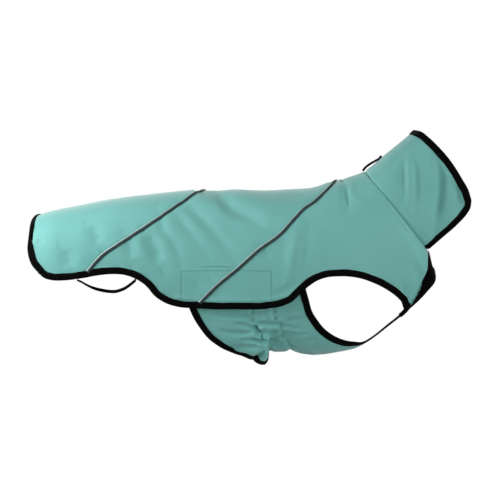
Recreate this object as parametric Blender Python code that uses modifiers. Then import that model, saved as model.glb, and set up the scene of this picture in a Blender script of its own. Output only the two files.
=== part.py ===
"""Dog coat of softshell cloth, filled out as it is worn, with no wearer.

The coat's head end points along +X, up is +Z, and its right side faces -Y. The origin lies on the
inner face of the cloth at the spine, halfway along the back, where the wearer's back carries it.

Every panel is an open sheet laid out on one skin, the form that the worn coat takes. A place on the
skin is given by a station from the rump (0) to the neck seam (1), and an angle round the body from
the spine (0) to the belly line (pi). The outlines are given as seen from the side, and are looked up
on the skin. What lies on a panel is made from the panel's own points, moved out.
"""

import math

import bpy
import numpy as np

MM = 0.001
PI = math.pi

# ---------------------------------------------------------------- sizes, in millimetres

CLOTH = 1.5              # wall of the softshell
GAP = 0.3                # between pieces
SEAM_INSET = 0.4         # each panel's edge stays this far behind its seam line
TAPE = 0.8               # wall of the bias tape
TAPE_GAP = 0.36          # between the tape and the cloth it is folded over
TAPE_WIDTH = 9.0         # of each leg of the folded tape
TAPE_LIP = TAPE_GAP + TAPE    # how far the folded tape reaches past the cloth's edge
TAPE_END = 2.5           # a tape's free end stops this far before its seam
ROUNDNESS = 0.86         # of the body's sections: 1 is an ellipse, less is squarer
EGG = 0.4                # and how much of them lies high: 0 is as wide below the middle as above

COLLAR_WIDTH_SEAM = 65.0
COLLAR_WIDTH_MOUTH = 58.0
THROAT_ANGLE = math.radians(152)       # where the collar's front edge stands on the neck seam
MOUTH_ANGLE = math.radians(125)        # and at the collar's front corner

BELLY_INSET = 5.6        # the belly panel passes this far inside the flanks
BELLY_INSET_FULL = math.radians(124)
BELLY_INSET_NONE = math.radians(160)

PATCH_DEPTH = 2.5        # outer face of the hook patch, inside the flank
PATCH_WALL = 0.9
PATCH_REAR, PATCH_FRONT = -97.0, 30.0
PATCH_TOP, PATCH_LOW = -117.0, -157.5

PIPING_REACH = 2.2       # half the width of the piping
PIPING_WALL = 1.0
PIPING_CROWN = 0.5
PIPING_START = 3.4       # how far its end stays from the hem's tape

ELASTIC_WIDTH, ELASTIC_WALL = 5.0, 1.6
ELASTIC_UNDER_HEM = 2.0               # its ends start this far under the hem's edge
ELASTIC_INSIDE = 1.5                  # and its middle runs this far inside the flank there
ELASTIC_TWIST = math.radians(22)
LOOP_WIDTH, LOOP_WALL = 14.0, 2.4

ON_PLANE = 0.02          # a point this near the middle plane is on it
MIRROR_MERGE = 0.05      # and the mirrored halves are joined over this distance
SHARP_EDGE = math.radians(40)

# ---------------------------------------------------------------- form

# One row for each section of the filled coat, from the rump to the neck seam.
# spine_x, spine_z: on the back; low_x, low_z: on the belly, chest or throat; half_width: of the body
SECTIONS = (
    (-342.0, -66.0, -354.0, -209.0, 57.0),
    (-319.0, -42.0, -333.0, -213.0, 65.0),
    (-297.0, -32.5, -307.0, -217.0, 70.0),
    (-246.5, -21.5, -252.0, -217.0, 76.0),
    (-188.5, -10.5, -193.0, -217.0, 80.0),
    (-138.0, -4.5, -142.0, -221.0, 82.0),
    (-87.0, 0.5, -90.0, -231.0, 84.0),
    (-36.0, 1.6, -32.0, -244.0, 87.0),
    (0.0, 1.5, 17.0, -248.5, 89.0),
    (29.0, 1.4, 61.0, -241.5, 90.0),
    (58.0, 2.4, 116.0, -236.0, 90.0),
    (78.0, 3.6, 162.0, -225.0, 88.0),
    (96.0, 6.0, 203.0, -198.0, 84.0),
    (112.0, 11.0, 231.0, -171.5, 79.0),
    (127.5, 15.0, 256.5, -147.0, 75.0),
    (145.0, 20.0, 270.5, -126.5, 71.0),
    (156.5, 24.0, 268.0, -110.5, 68.0),
    (167.0, 28.0, 263.7, -93.1, 65.0),
)

FOLD_START, FOLD_RISE = 0.15, 0.7      # a fold's depth along its run, as a share of half a sine wave
FOLD_STEEPNESS = 1.5                   # of the bell across it, at its half width

# The largest folds of the worn cloth, as troughs on the skin, seen from the side.
# from_x, from_z, to_x, to_z: the run of the fold; reach: its half width; depth: at its middle
FOLDS = (
    (-230.0, -55.0, -222.0, -82.0, 20.0, 2.5),
    (-272.0, -90.0, -266.0, -115.0, 14.0, 2.0),
    (-155.0, -66.0, -132.0, -108.0, 17.0, 2.5),
    (-98.0, -25.0, -30.0, -100.0, 22.0, 2.5),
    (-60.0, -12.0, 28.0, -60.0, 24.0, 3.0),
    (134.0, 4.0, 138.0, -34.0, 10.0, 1.5),
    (116.0, -106.0, 172.0, -84.0, 18.0, 2.5),
)

# x and z of the outlines, as seen from the side. A point above the spine counts as on it, and one
# under the belly line counts as on that.
REAR_EDGE = (
    (-304.5, -122.5), (-317.5, -106.5), (-323.0, -85.0), (-321.0, -67.0), (-318.4, -48.5),
    (-312.0, -30.0),
)
RUMP_HEM = (
    (-304.5, -122.5), (-297.5, -127.5), (-287.5, -130.2), (-268.0, -130.4), (-242.2, -127.3),
)
MIDDLE_HEM = (
    (-242.2, -127.3), (-222.0, -123.5), (-197.6, -121.4), (-181.3, -122.8), (-165.3, -128.6),
    (-153.1, -136.6), (-135.7, -155.3), (-121.8, -163.7), (-105.3, -168.7), (-80.5, -171.3),
)
SIDE_HEM = (
    (-80.5, -171.3), (-49.3, -172.3), (-1.5, -172.8), (26.0, -171.4), (46.4, -168.0), (60.0, -162.0),
    (71.6, -151.5), (81.0, -142.6), (90.0, -135.6), (100.1, -129.8), (113.1, -125.9), (136.3, -124.6),
    (155.2, -126.6), (175.5, -132.7), (197.2, -143.3), (210.3, -152.3), (220.0, -161.5), (225.5, -171.0),
)
REAR_SEAM = (
    (-242.2, -127.3), (-233.7, -116.0), (-214.6, -94.6), (-189.2, -77.0), (-146.9, -49.5),
    (-105.3, -21.0), (-77.6, -3.0), (-66.0, 20.0),
)
FRONT_SEAM = (
    (-80.5, -171.3), (-71.9, -162.4), (-49.7, -140.0), (-16.0, -112.0), (11.6, -87.0),
    (42.0, -65.0), (64.7, -40.5), (78.3, -26.4), (95.3, -14.4), (108.8, -1.5), (117.5, 7.0),
    (124.4, 15.0),
)
CHEST_EDGE = (
    (258.0, -86.2), (258.0, -97.0), (257.8, -110.5), (253.5, -124.0), (247.0, -140.0), (239.3, -154.0),
    (232.5, -164.5), (225.5, -171.0),
)
BELLY_REAR = (
    (-100.0, -112.0), (-95.0, -144.0), (-89.0, -171.5), (-83.5, -185.0), (-74.0, -200.8),
    (-60.0, -217.0), (-46.0, -226.5), (-26.5, -235.2), (-2.0, -242.5), (23.0, -260.0),
)
BELLY_TOP = (
    (-100.0, -112.0), (-50.0, -110.0), (0.0, -110.0), (44.0, -115.0), (77.5, -127.0),
)
LEG_EDGE = (
    (77.5, -127.0), (81.0, -143.3), (85.6, -160.2), (90.3, -177.2), (98.6, -191.0), (108.5, -203.0),
    (120.4, -211.6), (134.9, -217.6), (149.0, -220.4), (165.3, -218.0), (177.5, -211.5),
    (190.0, -202.5), (203.0, -190.0), (215.0, -178.5), (225.5, -171.0),
)
BELLY_LINE_START = (23.0, -260.0)
TIP = (225.5, -171.0)

# x and z of the collar's outlines: up its front edge, and round its mouth from the nape
COLLAR_NAPE = ((167.0, 28.0), (239.0, 87.5))
COLLAR_FRONT = (
    (258.0, -86.0), (280.0, -67.5), (301.2, -49.0), (313.0, -36.5), (320.0, -25.0), (321.5, -13.5),
)
COLLAR_MOUTH = (
    (239.0, 87.5), (247.0, 86.0), (259.6, 76.8), (273.5, 63.4), (287.1, 48.1), (297.2, 34.1),
    (308.1, 16.2), (316.5, 1.5), (321.5, -13.5),
)

# x, z, inward: the hind-leg elastic, from the hem's rear to its front end; inward from the flank
ELASTIC = (
    (-250.5, -130.0, 0.0), (-245.5, -132.0, 1.0), (-238.5, -136.0, 6.0), (-228.3, -140.9, 18.0),
    (-217.9, -144.0, 28.0), (-207.0, -146.0, 33.0), (-196.0, -146.5, 31.0), (-186.4, -144.0, 24.0),
    (-174.0, -136.7, 8.0), (-165.8, -130.0, 0.0),
)

# x, z: the nape loop, from the shoulder panel over the neck seam to the collar
NAPE_LOOP = (
    (163.4, 28.6), (166.3, 32.8), (170.8, 36.8), (176.6, 40.6), (182.4, 43.8), (187.4, 47.0),
    (190.2, 50.8),
)

# The gathers draw the belly panel up behind the chest: x, then how far it is drawn in
GATHER = ((26.0, 0.0), (44.0, 5.0), (58.0, 5.5), (80.0, 2.0), (105.0, 0.0))

# How many cells each panel has along and across
RUMP_CELLS = (8, 10)
MIDDLE_CELLS = (9, 10)
SHOULDER_CELLS = (20, 10)
COLLAR_CELLS = (12, 9)
BELLY_CELLS_TOP, BELLY_CELLS_LEG, BELLY_CELLS_ACROSS = 6, 13, 8
CHEST_CELLS_ACROSS = 4
PATCH_CELLS = (7, 3)
ELASTIC_PLACES, LOOP_PLACES = 15, 11
SPINE_SHARE = 0.18       # of the shoulder panel's upper side that lies on the spine, before the neck

COLLECTION = "dog_coat"

# name, then red, green and blue as linear light, and roughness
MATERIALS = {
    "softshell": ((0.16, 0.47, 0.40), 0.75),
    "black_tape": ((0.008, 0.007, 0.009), 0.7),
    "black_stretch": ((0.010, 0.009, 0.011), 0.8),
    "reflective_piping": ((0.10, 0.13, 0.14), 0.45),
    "hook_tape": ((0.13, 0.40, 0.34), 0.9),
}


# ---------------------------------------------------------------- curves

class SmoothCurve:
    """A smooth curve through a few rows of numbers, read from 0 to 1 along its length."""

    def __init__(self, rows, measured=None, knots=None):
        self.rows = np.array(rows, dtype=float)
        if knots is None:
            measured = self.rows if measured is None else np.array(measured, dtype=float)
            steps = np.linalg.norm(np.diff(measured, axis=0), axis=1)
            knots = np.concatenate(([0.0], np.cumsum(steps))) / steps.sum()
        self.knots = knots
        self.slopes = np.gradient(self.rows, self.knots, axis=0)

    def __call__(self, place):
        place = np.clip(np.asarray(place, dtype=float), 0.0, 1.0)
        span = np.clip(np.searchsorted(self.knots, place, side="right") - 1, 0, len(self.knots) - 2)
        length = (self.knots[span + 1] - self.knots[span])[..., None]
        t = (place[..., None] - self.knots[span][..., None]) / length
        start, end = self.rows[span], self.rows[span + 1]
        slope_in, slope_out = self.slopes[span] * length, self.slopes[span + 1] * length
        return ((2 * t ** 3 - 3 * t ** 2 + 1) * start + (t ** 3 - 2 * t ** 2 + t) * slope_in
                + (3 * t ** 2 - 2 * t ** 3) * end + (t ** 3 - t ** 2) * slope_out)


def joined(first, second, split):
    """One curve that runs along the first up to split, and then along the second."""
    def curve(place):
        place = np.asarray(place, dtype=float)
        early = first(np.clip(place / split, 0, 1))
        late = second(np.clip((place - split) / (1 - split), 0, 1))
        return np.where((place < split)[..., None], early, late)
    return curve


def reverse(curve):
    return lambda place: curve(1 - np.asarray(place, dtype=float))


def straight(start, end):
    start, end = np.array(start, dtype=float), np.array(end, dtype=float)
    return lambda place: start + (end - start) * np.asarray(place, dtype=float)[..., None]


def part_of(curve, start, end):
    """The stretch of a curve between two places on it."""
    return lambda place: curve(start + (end - start) * np.asarray(place, dtype=float))


def smooth_step(value, start, end):
    t = np.clip((value - start) / (end - start), 0, 1)
    return t * t * (3 - 2 * t)


# ---------------------------------------------------------------- the skin

_sections = np.array(SECTIONS)
BODY = SmoothCurve(_sections, measured=(_sections[:, 0:2] + _sections[:, 2:4]) / 2)


def unit(vectors):
    return vectors / np.linalg.norm(vectors, axis=-1, keepdims=True)


def dot(first, second):
    return (first * second).sum(axis=-1)


def square_to(vectors, tangents):
    """The directions of vectors once their share along the tangents is taken away."""
    return unit(vectors - dot(vectors, tangents)[..., None] * tangents)


def relief(points):
    """How far the folds draw the cloth in, at each point."""
    total = np.zeros(points.shape[:-1])
    for from_x, from_z, to_x, to_z, reach, depth in FOLDS:
        start, run = np.array((from_x, from_z)), np.array((to_x - from_x, to_z - from_z))
        side_view = points[..., [0, 2]] - start
        along = np.clip(side_view @ run / (run @ run), 0, 1)
        distance = np.linalg.norm(side_view - along[..., None] * run, axis=-1)
        lengthwise = np.sin(PI * (FOLD_START + FOLD_RISE * along))
        total += depth * lengthwise * np.exp(-(distance / reach * FOLD_STEEPNESS) ** 2)
    return total


def swing(angle):
    """The share of its half width that a section has at an angle round it."""
    leaning = angle + EGG * np.sin(angle) * np.cos(angle / 2) ** 2
    return np.sign(np.sin(leaning)) * np.abs(np.sin(leaning)) ** ROUNDNESS


def plain_skin(station, angle):
    spine_x, spine_z, low_x, low_z, half_width = np.moveaxis(BODY(station), -1, 0)
    drop = (1 - np.cos(angle)) / 2
    x = spine_x + (low_x - spine_x) * drop
    z = spine_z + (low_z - spine_z) * drop
    return np.stack((x, -half_width * swing(angle), z), axis=-1)


def normals_of(skin, station, angle):
    """Outward unit normals of a skin, from small steps on it."""
    step, turn = 0.002, 0.01              # of station, and of angle in radians
    ahead = np.minimum(station + step, 1.0)
    behind = np.maximum(station - step, 0.0)
    along = skin(ahead, angle) - skin(behind, angle)
    around = skin(station, angle + turn) - skin(station, angle - turn)
    return unit(np.cross(around, along))


def body_skin(station, angle):
    """The outer face of the trunk's cloth."""
    points = plain_skin(station, angle)
    depth = relief(points)[..., None]
    return points - depth * normals_of(plain_skin, station, angle)


def belly_skin(station, angle):
    """The outer face of the belly panel, inside the flanks and drawn up by its gathers."""
    points = plain_skin(station, angle)
    inset = BELLY_INSET * (1 - smooth_step(angle, BELLY_INSET_FULL, BELLY_INSET_NONE))
    gather = np.array(GATHER)
    drawn = np.interp(points[..., 0], gather[:, 0], gather[:, 1])
    drawn = drawn * smooth_step(angle, BELLY_INSET_FULL, BELLY_INSET_NONE)
    depth = (relief(points) + inset + drawn)[..., None]
    return points - depth * normals_of(plain_skin, station, angle)


def look_up(x, z):
    """Station and angle of places on the skin that the side view shows at x, z."""
    x, z = np.asarray(x, dtype=float), np.asarray(z, dtype=float)
    low, high = np.zeros_like(x), np.ones_like(x)
    for _ in range(40):
        middle = (low + high) / 2
        spine_x, spine_z, low_x, low_z, _width = np.moveaxis(BODY(middle), -1, 0)
        is_ahead = (low_x - spine_x) * (z - spine_z) - (low_z - spine_z) * (x - spine_x) > 0
        low, high = np.where(is_ahead, middle, low), np.where(is_ahead, high, middle)
    spine_x, spine_z, low_x, low_z, _width = np.moveaxis(BODY(low), -1, 0)
    reach_x, reach_z = low_x - spine_x, low_z - spine_z
    drop = ((x - spine_x) * reach_x + (z - spine_z) * reach_z) / (reach_x ** 2 + reach_z ** 2)
    return np.stack((low, np.arccos(1 - 2 * np.clip(drop, 0, 1))), axis=-1)


def outline(points):
    """A side-view outline as a curve of station and angle."""
    points = np.array(points)
    places = look_up(points[:, 0], points[:, 1])
    on_skin = plain_skin(places[:, 0], places[:, 1])
    return SmoothCurve(places, measured=on_skin)


# ---------------------------------------------------------------- panels

class Panel:
    """A sheet between four outlines. low and high run from left to right, left and right upward.

    taped names the sides that carry a tape, whose first row of cells is as wide as the tape. The
    points are the cloth's outer face, for the half of the coat that shows.
    """

    def __init__(self, skin, left, right, low, high, cells, taped=()):
        self.skin = skin
        across, up = cells
        a, b = np.meshgrid(np.linspace(0, 1, across + 1), np.linspace(0, 1, up + 1), indexing="ij")
        sides = (left, right, low, high)
        draft = self.surface(sides, a, b)
        row_lengths = np.linalg.norm(np.diff(draft, axis=0), axis=-1).sum(axis=0)
        column_lengths = np.linalg.norm(np.diff(draft, axis=1), axis=-1).sum(axis=1)
        a = self.spaced(a, row_lengths[None, :], "left" in taped, "right" in taped, 0)
        b = self.spaced(b, column_lengths[:, None], "low" in taped, "high" in taped, 1)
        self.points = self.surface(sides, a, b)
        if "low" in taped:
            self.square_up_low_tape(sides, a, b)

    @staticmethod
    def spaced(values, lengths, at_start, at_end, axis):
        """Even spacing, with a cell as wide as the tape at the ends that carry one."""
        width = np.broadcast_to((TAPE_WIDTH + TAPE_LIP) / lengths, values.shape)
        index = np.arange(values.shape[axis], dtype=float)
        index = index[:, None] if axis == 0 else index[None, :]
        last = values.shape[axis] - 1
        inner = np.take(values, [1, last - 1], axis=axis)
        near = np.take(inner, [0], axis=axis)
        far = np.take(inner, [1], axis=axis)
        start = width if at_start else near
        end = 1 - width if at_end else far
        if not at_start and not at_end:
            return values
        spread = start + (end - start) * (values - near) / (far - near)
        spread = np.where(index == 0, 0.0, spread)
        return np.where(index == last, 1.0, spread)

    @staticmethod
    def places(sides, a, b):
        """A patch that blends its four sides, in station and angle."""
        left, right, low, high = sides
        wide_a, wide_b = a[..., None], b[..., None]
        across = (1 - wide_a) * left(b) + wide_a * right(b)
        up = (1 - wide_b) * low(a) + wide_b * high(a)
        zero, one = np.zeros_like(a), np.ones_like(a)
        corners = ((1 - wide_a) * (1 - wide_b) * low(zero) + wide_a * (1 - wide_b) * low(one)
                   + (1 - wide_a) * wide_b * high(zero) + wide_a * wide_b * high(one))
        return across + up - corners

    def surface(self, sides, a, b):
        places = self.places(sides, a, b)
        return self.skin(places[..., 0], places[..., 1])

    def square_up_low_tape(self, sides, a, b):
        """Lays the low side's first row of cells square to the edge, and the rest above it."""
        left, right, low, high = sides
        seam_start = (b[0, 1], b[-1, 1])
        edge = low(a[:, 0])
        inner = self.step_inward(edge, self.points[:, 1] - self.points[:, 0])
        inner[0], inner[-1] = left(seam_start[0]), right(seam_start[1])
        upper_sides = (part_of(left, seam_start[0], 1), part_of(right, seam_start[1], 1),
                       SmoothCurve(inner, knots=a[:, 0]), high)
        rows = b.shape[1]
        upper_b = np.broadcast_to(np.linspace(0, 1, rows - 1), (b.shape[0], rows - 1))
        self.points[:, 1:] = self.surface(upper_sides, a[:, 1:], upper_b)

    def step_inward(self, places, inward):
        """Places on the skin one tape's width in from an edge, square to it."""
        station, angle = places[:, 0], places[:, 1]
        step, turn = 0.001, 0.005             # of station, and of angle in radians
        along = (self.skin(station + step, angle) - self.skin(station - step, angle)) / (2 * step)
        around = (self.skin(station, angle + turn) - self.skin(station, angle - turn)) / (2 * turn)
        tangent = unit(np.gradient(self.skin(station, angle), axis=0))
        square = square_to(inward, tangent) * (TAPE_WIDTH + TAPE_LIP)
        metric = np.stack((np.stack((dot(along, along), dot(along, around)), -1),
                           np.stack((dot(along, around), dot(around, around)), -1)), -2)
        pull = np.stack((dot(along, square), dot(around, square)), axis=-1)
        return places + np.linalg.solve(metric, pull[..., None])[..., 0]

    @property
    def normals(self):
        """Outward normals at the points, from the triangles round each, as the wall follows them."""
        columns, rows = self.points.shape[:2]
        points = self.points.reshape(-1, 3)
        triangles = np.array(grid_faces(columns, rows))
        corners = points[triangles]
        face_normals = unit(np.cross(corners[:, 1] - corners[:, 0], corners[:, 2] - corners[:, 0]))
        totals = np.zeros_like(points)
        for k in range(3):
            one = unit(corners[:, (k + 1) % 3] - corners[:, k])
            other = unit(corners[:, (k + 2) % 3] - corners[:, k])
            opening = np.arccos(np.clip(dot(one, other), -1, 1))
            np.add.at(totals, triangles[:, k], opening[:, None] * face_normals)
        if totals[:, 1].sum() > 0:
            totals = -totals
        totals[np.abs(points[:, 1]) < ON_PLANE, 1] = 0.0
        return unit(totals).reshape(self.points.shape)

    def draw_in(self, side, distance):
        """Moves one side's points towards their neighbours."""
        edge, neighbour = {
            "left": ((0, slice(None)), (1, slice(None))),
            "right": ((-1, slice(None)), (-2, slice(None))),
            "low": ((slice(None), 0), (slice(None), 1)),
            "high": ((slice(None), -1), (slice(None), -2)),
        }[side]
        tangent = unit(np.gradient(self.points[edge], axis=0))
        on_middle_plane = np.abs(self.points[edge][:, 1]) < ON_PLANE
        tangent[on_middle_plane] = (0.0, 1.0, 0.0)
        step = square_to(self.points[neighbour] - self.points[edge], tangent)
        self.points[edge] = self.points[edge] + distance * step


class CollarSkin:
    """The stand collar's outer face: place 0 to 1 from seam to mouth, and 0 to 1 round to the front."""

    def __init__(self):
        self.nape = straight(*COLLAR_NAPE)
        self.front = SmoothCurve(COLLAR_FRONT)
        self.seam = straight(COLLAR_NAPE[0], COLLAR_FRONT[0])
        self.mouth = SmoothCurve(COLLAR_MOUTH)

    def __call__(self, height, around):
        last_angle = THROAT_ANGLE + (MOUTH_ANGLE - THROAT_ANGLE) * height
        angle = around * last_angle
        share = (1 - np.cos(angle)) / (1 - np.cos(last_angle))
        h, s = height[..., None], share[..., None]
        side_view = ((1 - h) * self.seam(share) + h * self.mouth(share)
                     + (1 - s) * self.nape(height) + s * self.front(height)
                     - (1 - h) * (1 - s) * self.nape(0.0) - h * (1 - s) * self.nape(1.0)
                     - (1 - h) * s * self.front(0.0) - h * s * self.front(1.0))
        half_width = COLLAR_WIDTH_SEAM + (COLLAR_WIDTH_MOUTH - COLLAR_WIDTH_SEAM) * height
        return np.stack((side_view[..., 0], -half_width * swing(angle), side_view[..., 1]), axis=-1)


def on_spine(start_place, end_place):
    return straight((start_place, 0.0), (end_place, 0.0))


def make_panels():
    """The six sheets of the coat's right half, by node name."""
    rear_seam = outline(REAR_SEAM)
    front_seam = outline(FRONT_SEAM)
    rear_edge = outline(REAR_EDGE)
    rump_hem = outline(RUMP_HEM)
    chest_edge = outline(CHEST_EDGE)
    throat = np.array((1.0, THROAT_ANGLE))
    spine_places = [curve(1.0)[0] for curve in (rear_edge, rear_seam, front_seam)]
    tip = look_up(*TIP)
    belly_start = look_up(*BELLY_LINE_START)

    panels = {}
    panels["rump_panel"] = Panel(
        body_skin, left=rear_edge, right=rear_seam, low=rump_hem,
        high=on_spine(spine_places[0], spine_places[1]), cells=RUMP_CELLS, taped=("left", "low"))
    panels["middle_panel"] = Panel(
        body_skin, left=rear_seam, right=front_seam, low=outline(MIDDLE_HEM),
        high=on_spine(spine_places[1], spine_places[2]), cells=MIDDLE_CELLS, taped=("low",))

    def front_edge(place):
        """The chest edge, which starts exactly at the throat."""
        at_start = np.asarray(place)[..., None] <= 0.0
        return np.where(at_start, throat, chest_edge(place))

    neck_seam = straight((1.0, 0.0), throat)
    panels["shoulder_panel"] = Panel(
        body_skin, left=front_seam, right=reverse(front_edge), low=outline(SIDE_HEM),
        high=joined(on_spine(spine_places[2], 1.0), neck_seam, SPINE_SHARE),
        cells=SHOULDER_CELLS, taped=("low",))
    panels["collar"] = Panel(
        CollarSkin(), left=straight((0.0, 0.0), (1.0, 0.0)), right=straight((0.0, 1.0), (1.0, 1.0)),
        low=straight((0.0, 0.0), (0.0, 1.0)), high=straight((1.0, 0.0), (1.0, 1.0)),
        cells=COLLAR_CELLS, taped=("right", "high"))

    leg_share = BELLY_CELLS_LEG / (BELLY_CELLS_TOP + BELLY_CELLS_LEG)
    panels["belly_panel"] = Panel(
        belly_skin, left=outline(BELLY_REAR), right=straight(tip, (tip[0], PI)),
        low=joined(outline(BELLY_TOP), outline(LEG_EDGE), 1 - leg_share),
        high=straight((belly_start[0], PI), (tip[0], PI)),
        cells=(BELLY_CELLS_TOP + BELLY_CELLS_LEG, BELLY_CELLS_ACROSS), taped=("left", "low"))
    panels["chest_insert"] = Panel(
        body_skin, left=straight(throat, (1.0, PI)), right=straight(tip, (tip[0], PI)),
        low=front_edge, high=straight((1.0, PI), (tip[0], PI)),
        cells=(SHOULDER_CELLS[1], CHEST_CELLS_ACROSS))
    return panels


# ---------------------------------------------------------------- solids

def material(name):
    made = bpy.data.materials.get(name)
    if made is None:
        colour, roughness = MATERIALS[name]
        made = bpy.data.materials.new(name)
        made.use_nodes = True
        shader = made.node_tree.nodes["Principled BSDF"]
        shader.inputs["Base Color"].default_value = (*colour, 1.0)
        shader.inputs["Roughness"].default_value = roughness
        shader.inputs["Metallic"].default_value = 0.0
        made.diffuse_color = (*colour, 1.0)
    return made


def sheet_object(name, vertices, faces, wall, offset, material_name, mirrored=False):
    """An open sheet with a Solidify wall, mirrored over the spine where it is cut in one."""
    mesh = bpy.data.meshes.new(name)
    mesh.from_pydata([tuple(c * MM for c in vertex) for vertex in vertices], [], faces)
    mesh.update()
    mesh.shade_smooth()
    mesh.set_sharp_from_angle(angle=SHARP_EDGE)
    mesh.materials.append(material(material_name))
    made = bpy.data.objects.new(name, mesh)
    bpy.data.collections[COLLECTION].objects.link(made)
    if mirrored:
        mirror = made.modifiers.new("other_half", "MIRROR")
        mirror.use_axis = (False, True, False)
        mirror.merge_threshold = MIRROR_MERGE * MM
        mirror.use_mirror_merge = True
    solidify = made.modifiers.new("wall", "SOLIDIFY")
    solidify.thickness = wall * MM
    solidify.offset = offset
    solidify.use_even_offset = True
    return made


def grid_faces(columns, rows):
    """Triangles of a grid whose points are listed column by column, all cut the same way."""
    faces = []
    for i in range(columns - 1):
        for j in range(rows - 1):
            near, far = i * rows + j, (i + 1) * rows + j
            faces += [(near, far, far + 1), (near, far + 1, near + 1)]
    return faces


def facing(vertices, faces, outward):
    """The faces, turned so that the first one's normal points along outward."""
    corners = [np.array(vertices[index]) for index in faces[0][:3]]
    normal = np.cross(corners[1] - corners[0], corners[2] - corners[0])
    if normal @ np.array(outward) < 0:
        return [tuple(reversed(face)) for face in faces]
    return faces


def flatten_on_plane(points):
    """Points within a hair of the middle plane are put on it, so that the halves meet."""
    points = np.array(points)
    points[np.abs(points[:, 1]) < ON_PLANE, 1] = 0.0
    return points


def grid_object(name, points, normals, wall, material_name, mirrored, offset=-1):
    columns, rows = points.shape[:2]
    vertices = flatten_on_plane(points.reshape(-1, 3))
    faces = facing(vertices, grid_faces(columns, rows), normals[0, 0] + normals[1, 1])
    return sheet_object(name, vertices, faces, wall, offset, material_name, mirrored)


class Station:
    """One place on a taped edge: the cloth's edge and the inner end of the tape's leg.

    from_edge says how the panel's cell between this place and the next is cut in two: from this edge
    point to the next inner one, or the other way.
    """

    def __init__(self, edge, inner, edge_normal, inner_normal, from_edge=True):
        self.edge, self.inner = edge, inner
        self.edge_normal, self.inner_normal = edge_normal, inner_normal
        self.from_edge = from_edge

    def mirrored(self):
        sides = (self.edge, self.inner, self.edge_normal, self.inner_normal)
        return Station(*(mirrored_points(side) for side in sides), self.from_edge)


def stations(panel, side, backward=False):
    """The stations of one side of a panel, in the order of its rows or columns, or backward."""
    last_column, last_row = panel.points.shape[0] - 1, panel.points.shape[1] - 1
    normals = panel.normals
    pairs = {
        "low": [((i, 0), (i, 1)) for i in range(last_column + 1)],
        "high": [((i, last_row), (i, last_row - 1)) for i in range(last_column + 1)],
        "left": [((0, j), (1, j)) for j in range(last_row + 1)],
        "right": [((last_column, j), (last_column - 1, j)) for j in range(last_row + 1)],
    }[side]
    from_edge = (side in ("low", "left")) != backward
    places = [Station(panel.points[edge], panel.points[inner], normals[edge], normals[inner], from_edge)
              for edge, inner in pairs]
    return places[::-1] if backward else places


def corner_station(panel, column, row):
    """The station of a corner whose two sides both carry the tape."""
    inner = (column + (1 if column == 0 else -1), row + (1 if row == 0 else -1))
    return Station(panel.points[column, row], panel.points[inner],
                   panel.normals[column, row], panel.normals[inner])


def round_corner(first, corner, second):
    """Joins two sides at a corner. first ends there and second starts there."""
    turned = [first[-2], corner, second[1]]
    for station in (turned[0], turned[2]):
        station.inner, station.inner_normal = corner.inner, corner.inner_normal
    return first[:-2] + turned + second[2:]


def merged(first, second):
    """One station halfway between two that face each other over a seam."""
    return Station((first.edge + second.edge) / 2, (first.inner + second.inner) / 2,
                   unit(first.edge_normal + second.edge_normal),
                   unit(first.inner_normal + second.inner_normal), second.from_edge)


def tape_object(name, places, mirrored, shorten=0.0):
    """Bias tape folded over an edge: two legs and the fold between them, through all stations."""
    vertices, faces, rings, known = [], [], [], {}
    edges = np.array([place.edge for place in places])
    tangents = unit(np.gradient(edges, axis=0))
    tangents[np.abs(edges[:, 1]) < ON_PLANE] = (0.0, 1.0, 0.0)
    for place, tangent in zip(places, tangents):
        spread = place.edge + square_to(place.edge - place.inner, tangent) * TAPE_GAP
        ring = []
        for point in (place.inner + place.inner_normal * TAPE_GAP,
                      spread + place.edge_normal * TAPE_GAP,
                      spread - place.edge_normal * (CLOTH + TAPE_GAP),
                      place.inner - place.inner_normal * (CLOTH + TAPE_GAP)):
            key = tuple(np.round(point, 4))
            if key not in known:
                known[key] = len(vertices)
                vertices.append(point)
            ring.append(known[key])
        rings.append(ring)
    if shorten:
        for end, neighbour in ((0, 1), (-1, -2)):
            if mirrored and end == -1:
                continue
            for index, toward in zip(rings[end], rings[neighbour]):
                step = unit(vertices[toward] - vertices[index])
                vertices[index] = vertices[index] + shorten * step
    for place, ring, following in zip(places, rings, rings[1:]):
        for k, edge_is_later in ((0, True), (1, False), (2, False)):
            a, b, c, d = ring[k], following[k], following[k + 1], ring[k + 1]
            is_cut_from_a = place.from_edge != edge_is_later
            halves = ((a, b, c), (a, c, d)) if is_cut_from_a else ((a, b, d), (b, c, d))
            faces += [half for half in halves if len(set(half)) == 3]
    vertices = flatten_on_plane(vertices)
    faces = facing(vertices, faces, places[0].inner_normal + places[0].edge_normal)
    return sheet_object(name, vertices, faces, TAPE, 1, "black_tape", mirrored)


def seam_piping(name, behind, ahead):
    """Piping over a seam, from the tape's inner edge over the spine, made from both panels' edges."""
    first, second = stations(behind, "right"), stations(ahead, "left")
    columns = []
    for j in range(1, len(first)):
        middle = merged(first[j], second[j])
        across = unit(second[j].edge - second[j].inner + first[j].inner - first[j].edge)
        centre = middle.edge
        if j == 1:
            centre = centre + PIPING_START * unit(first[2].edge - first[1].edge)
        for reach, height in ((-PIPING_REACH, 0.0), (0.0, PIPING_CROWN), (PIPING_REACH, 0.0)):
            columns.append(centre - across * reach + middle.edge_normal * (GAP + height))
    vertices = flatten_on_plane(columns)
    faces = facing(vertices, grid_faces(len(first) - 1, 3), first[1].edge_normal)
    return sheet_object(name, vertices, faces, PIPING_WALL, 1, "reflective_piping", mirrored=True)


def ribbon(name, centres, across, width, wall, material_name):
    """A flat strip along a route. across points from its middle to its edge at each place."""
    half = np.array(across) * width / 2
    centres = np.array(centres)
    vertices = np.stack((centres - half, centres + half), axis=1).reshape(-1, 3)
    return sheet_object(name, vertices, grid_faces(len(centres), 2), wall, 0, material_name)


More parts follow.
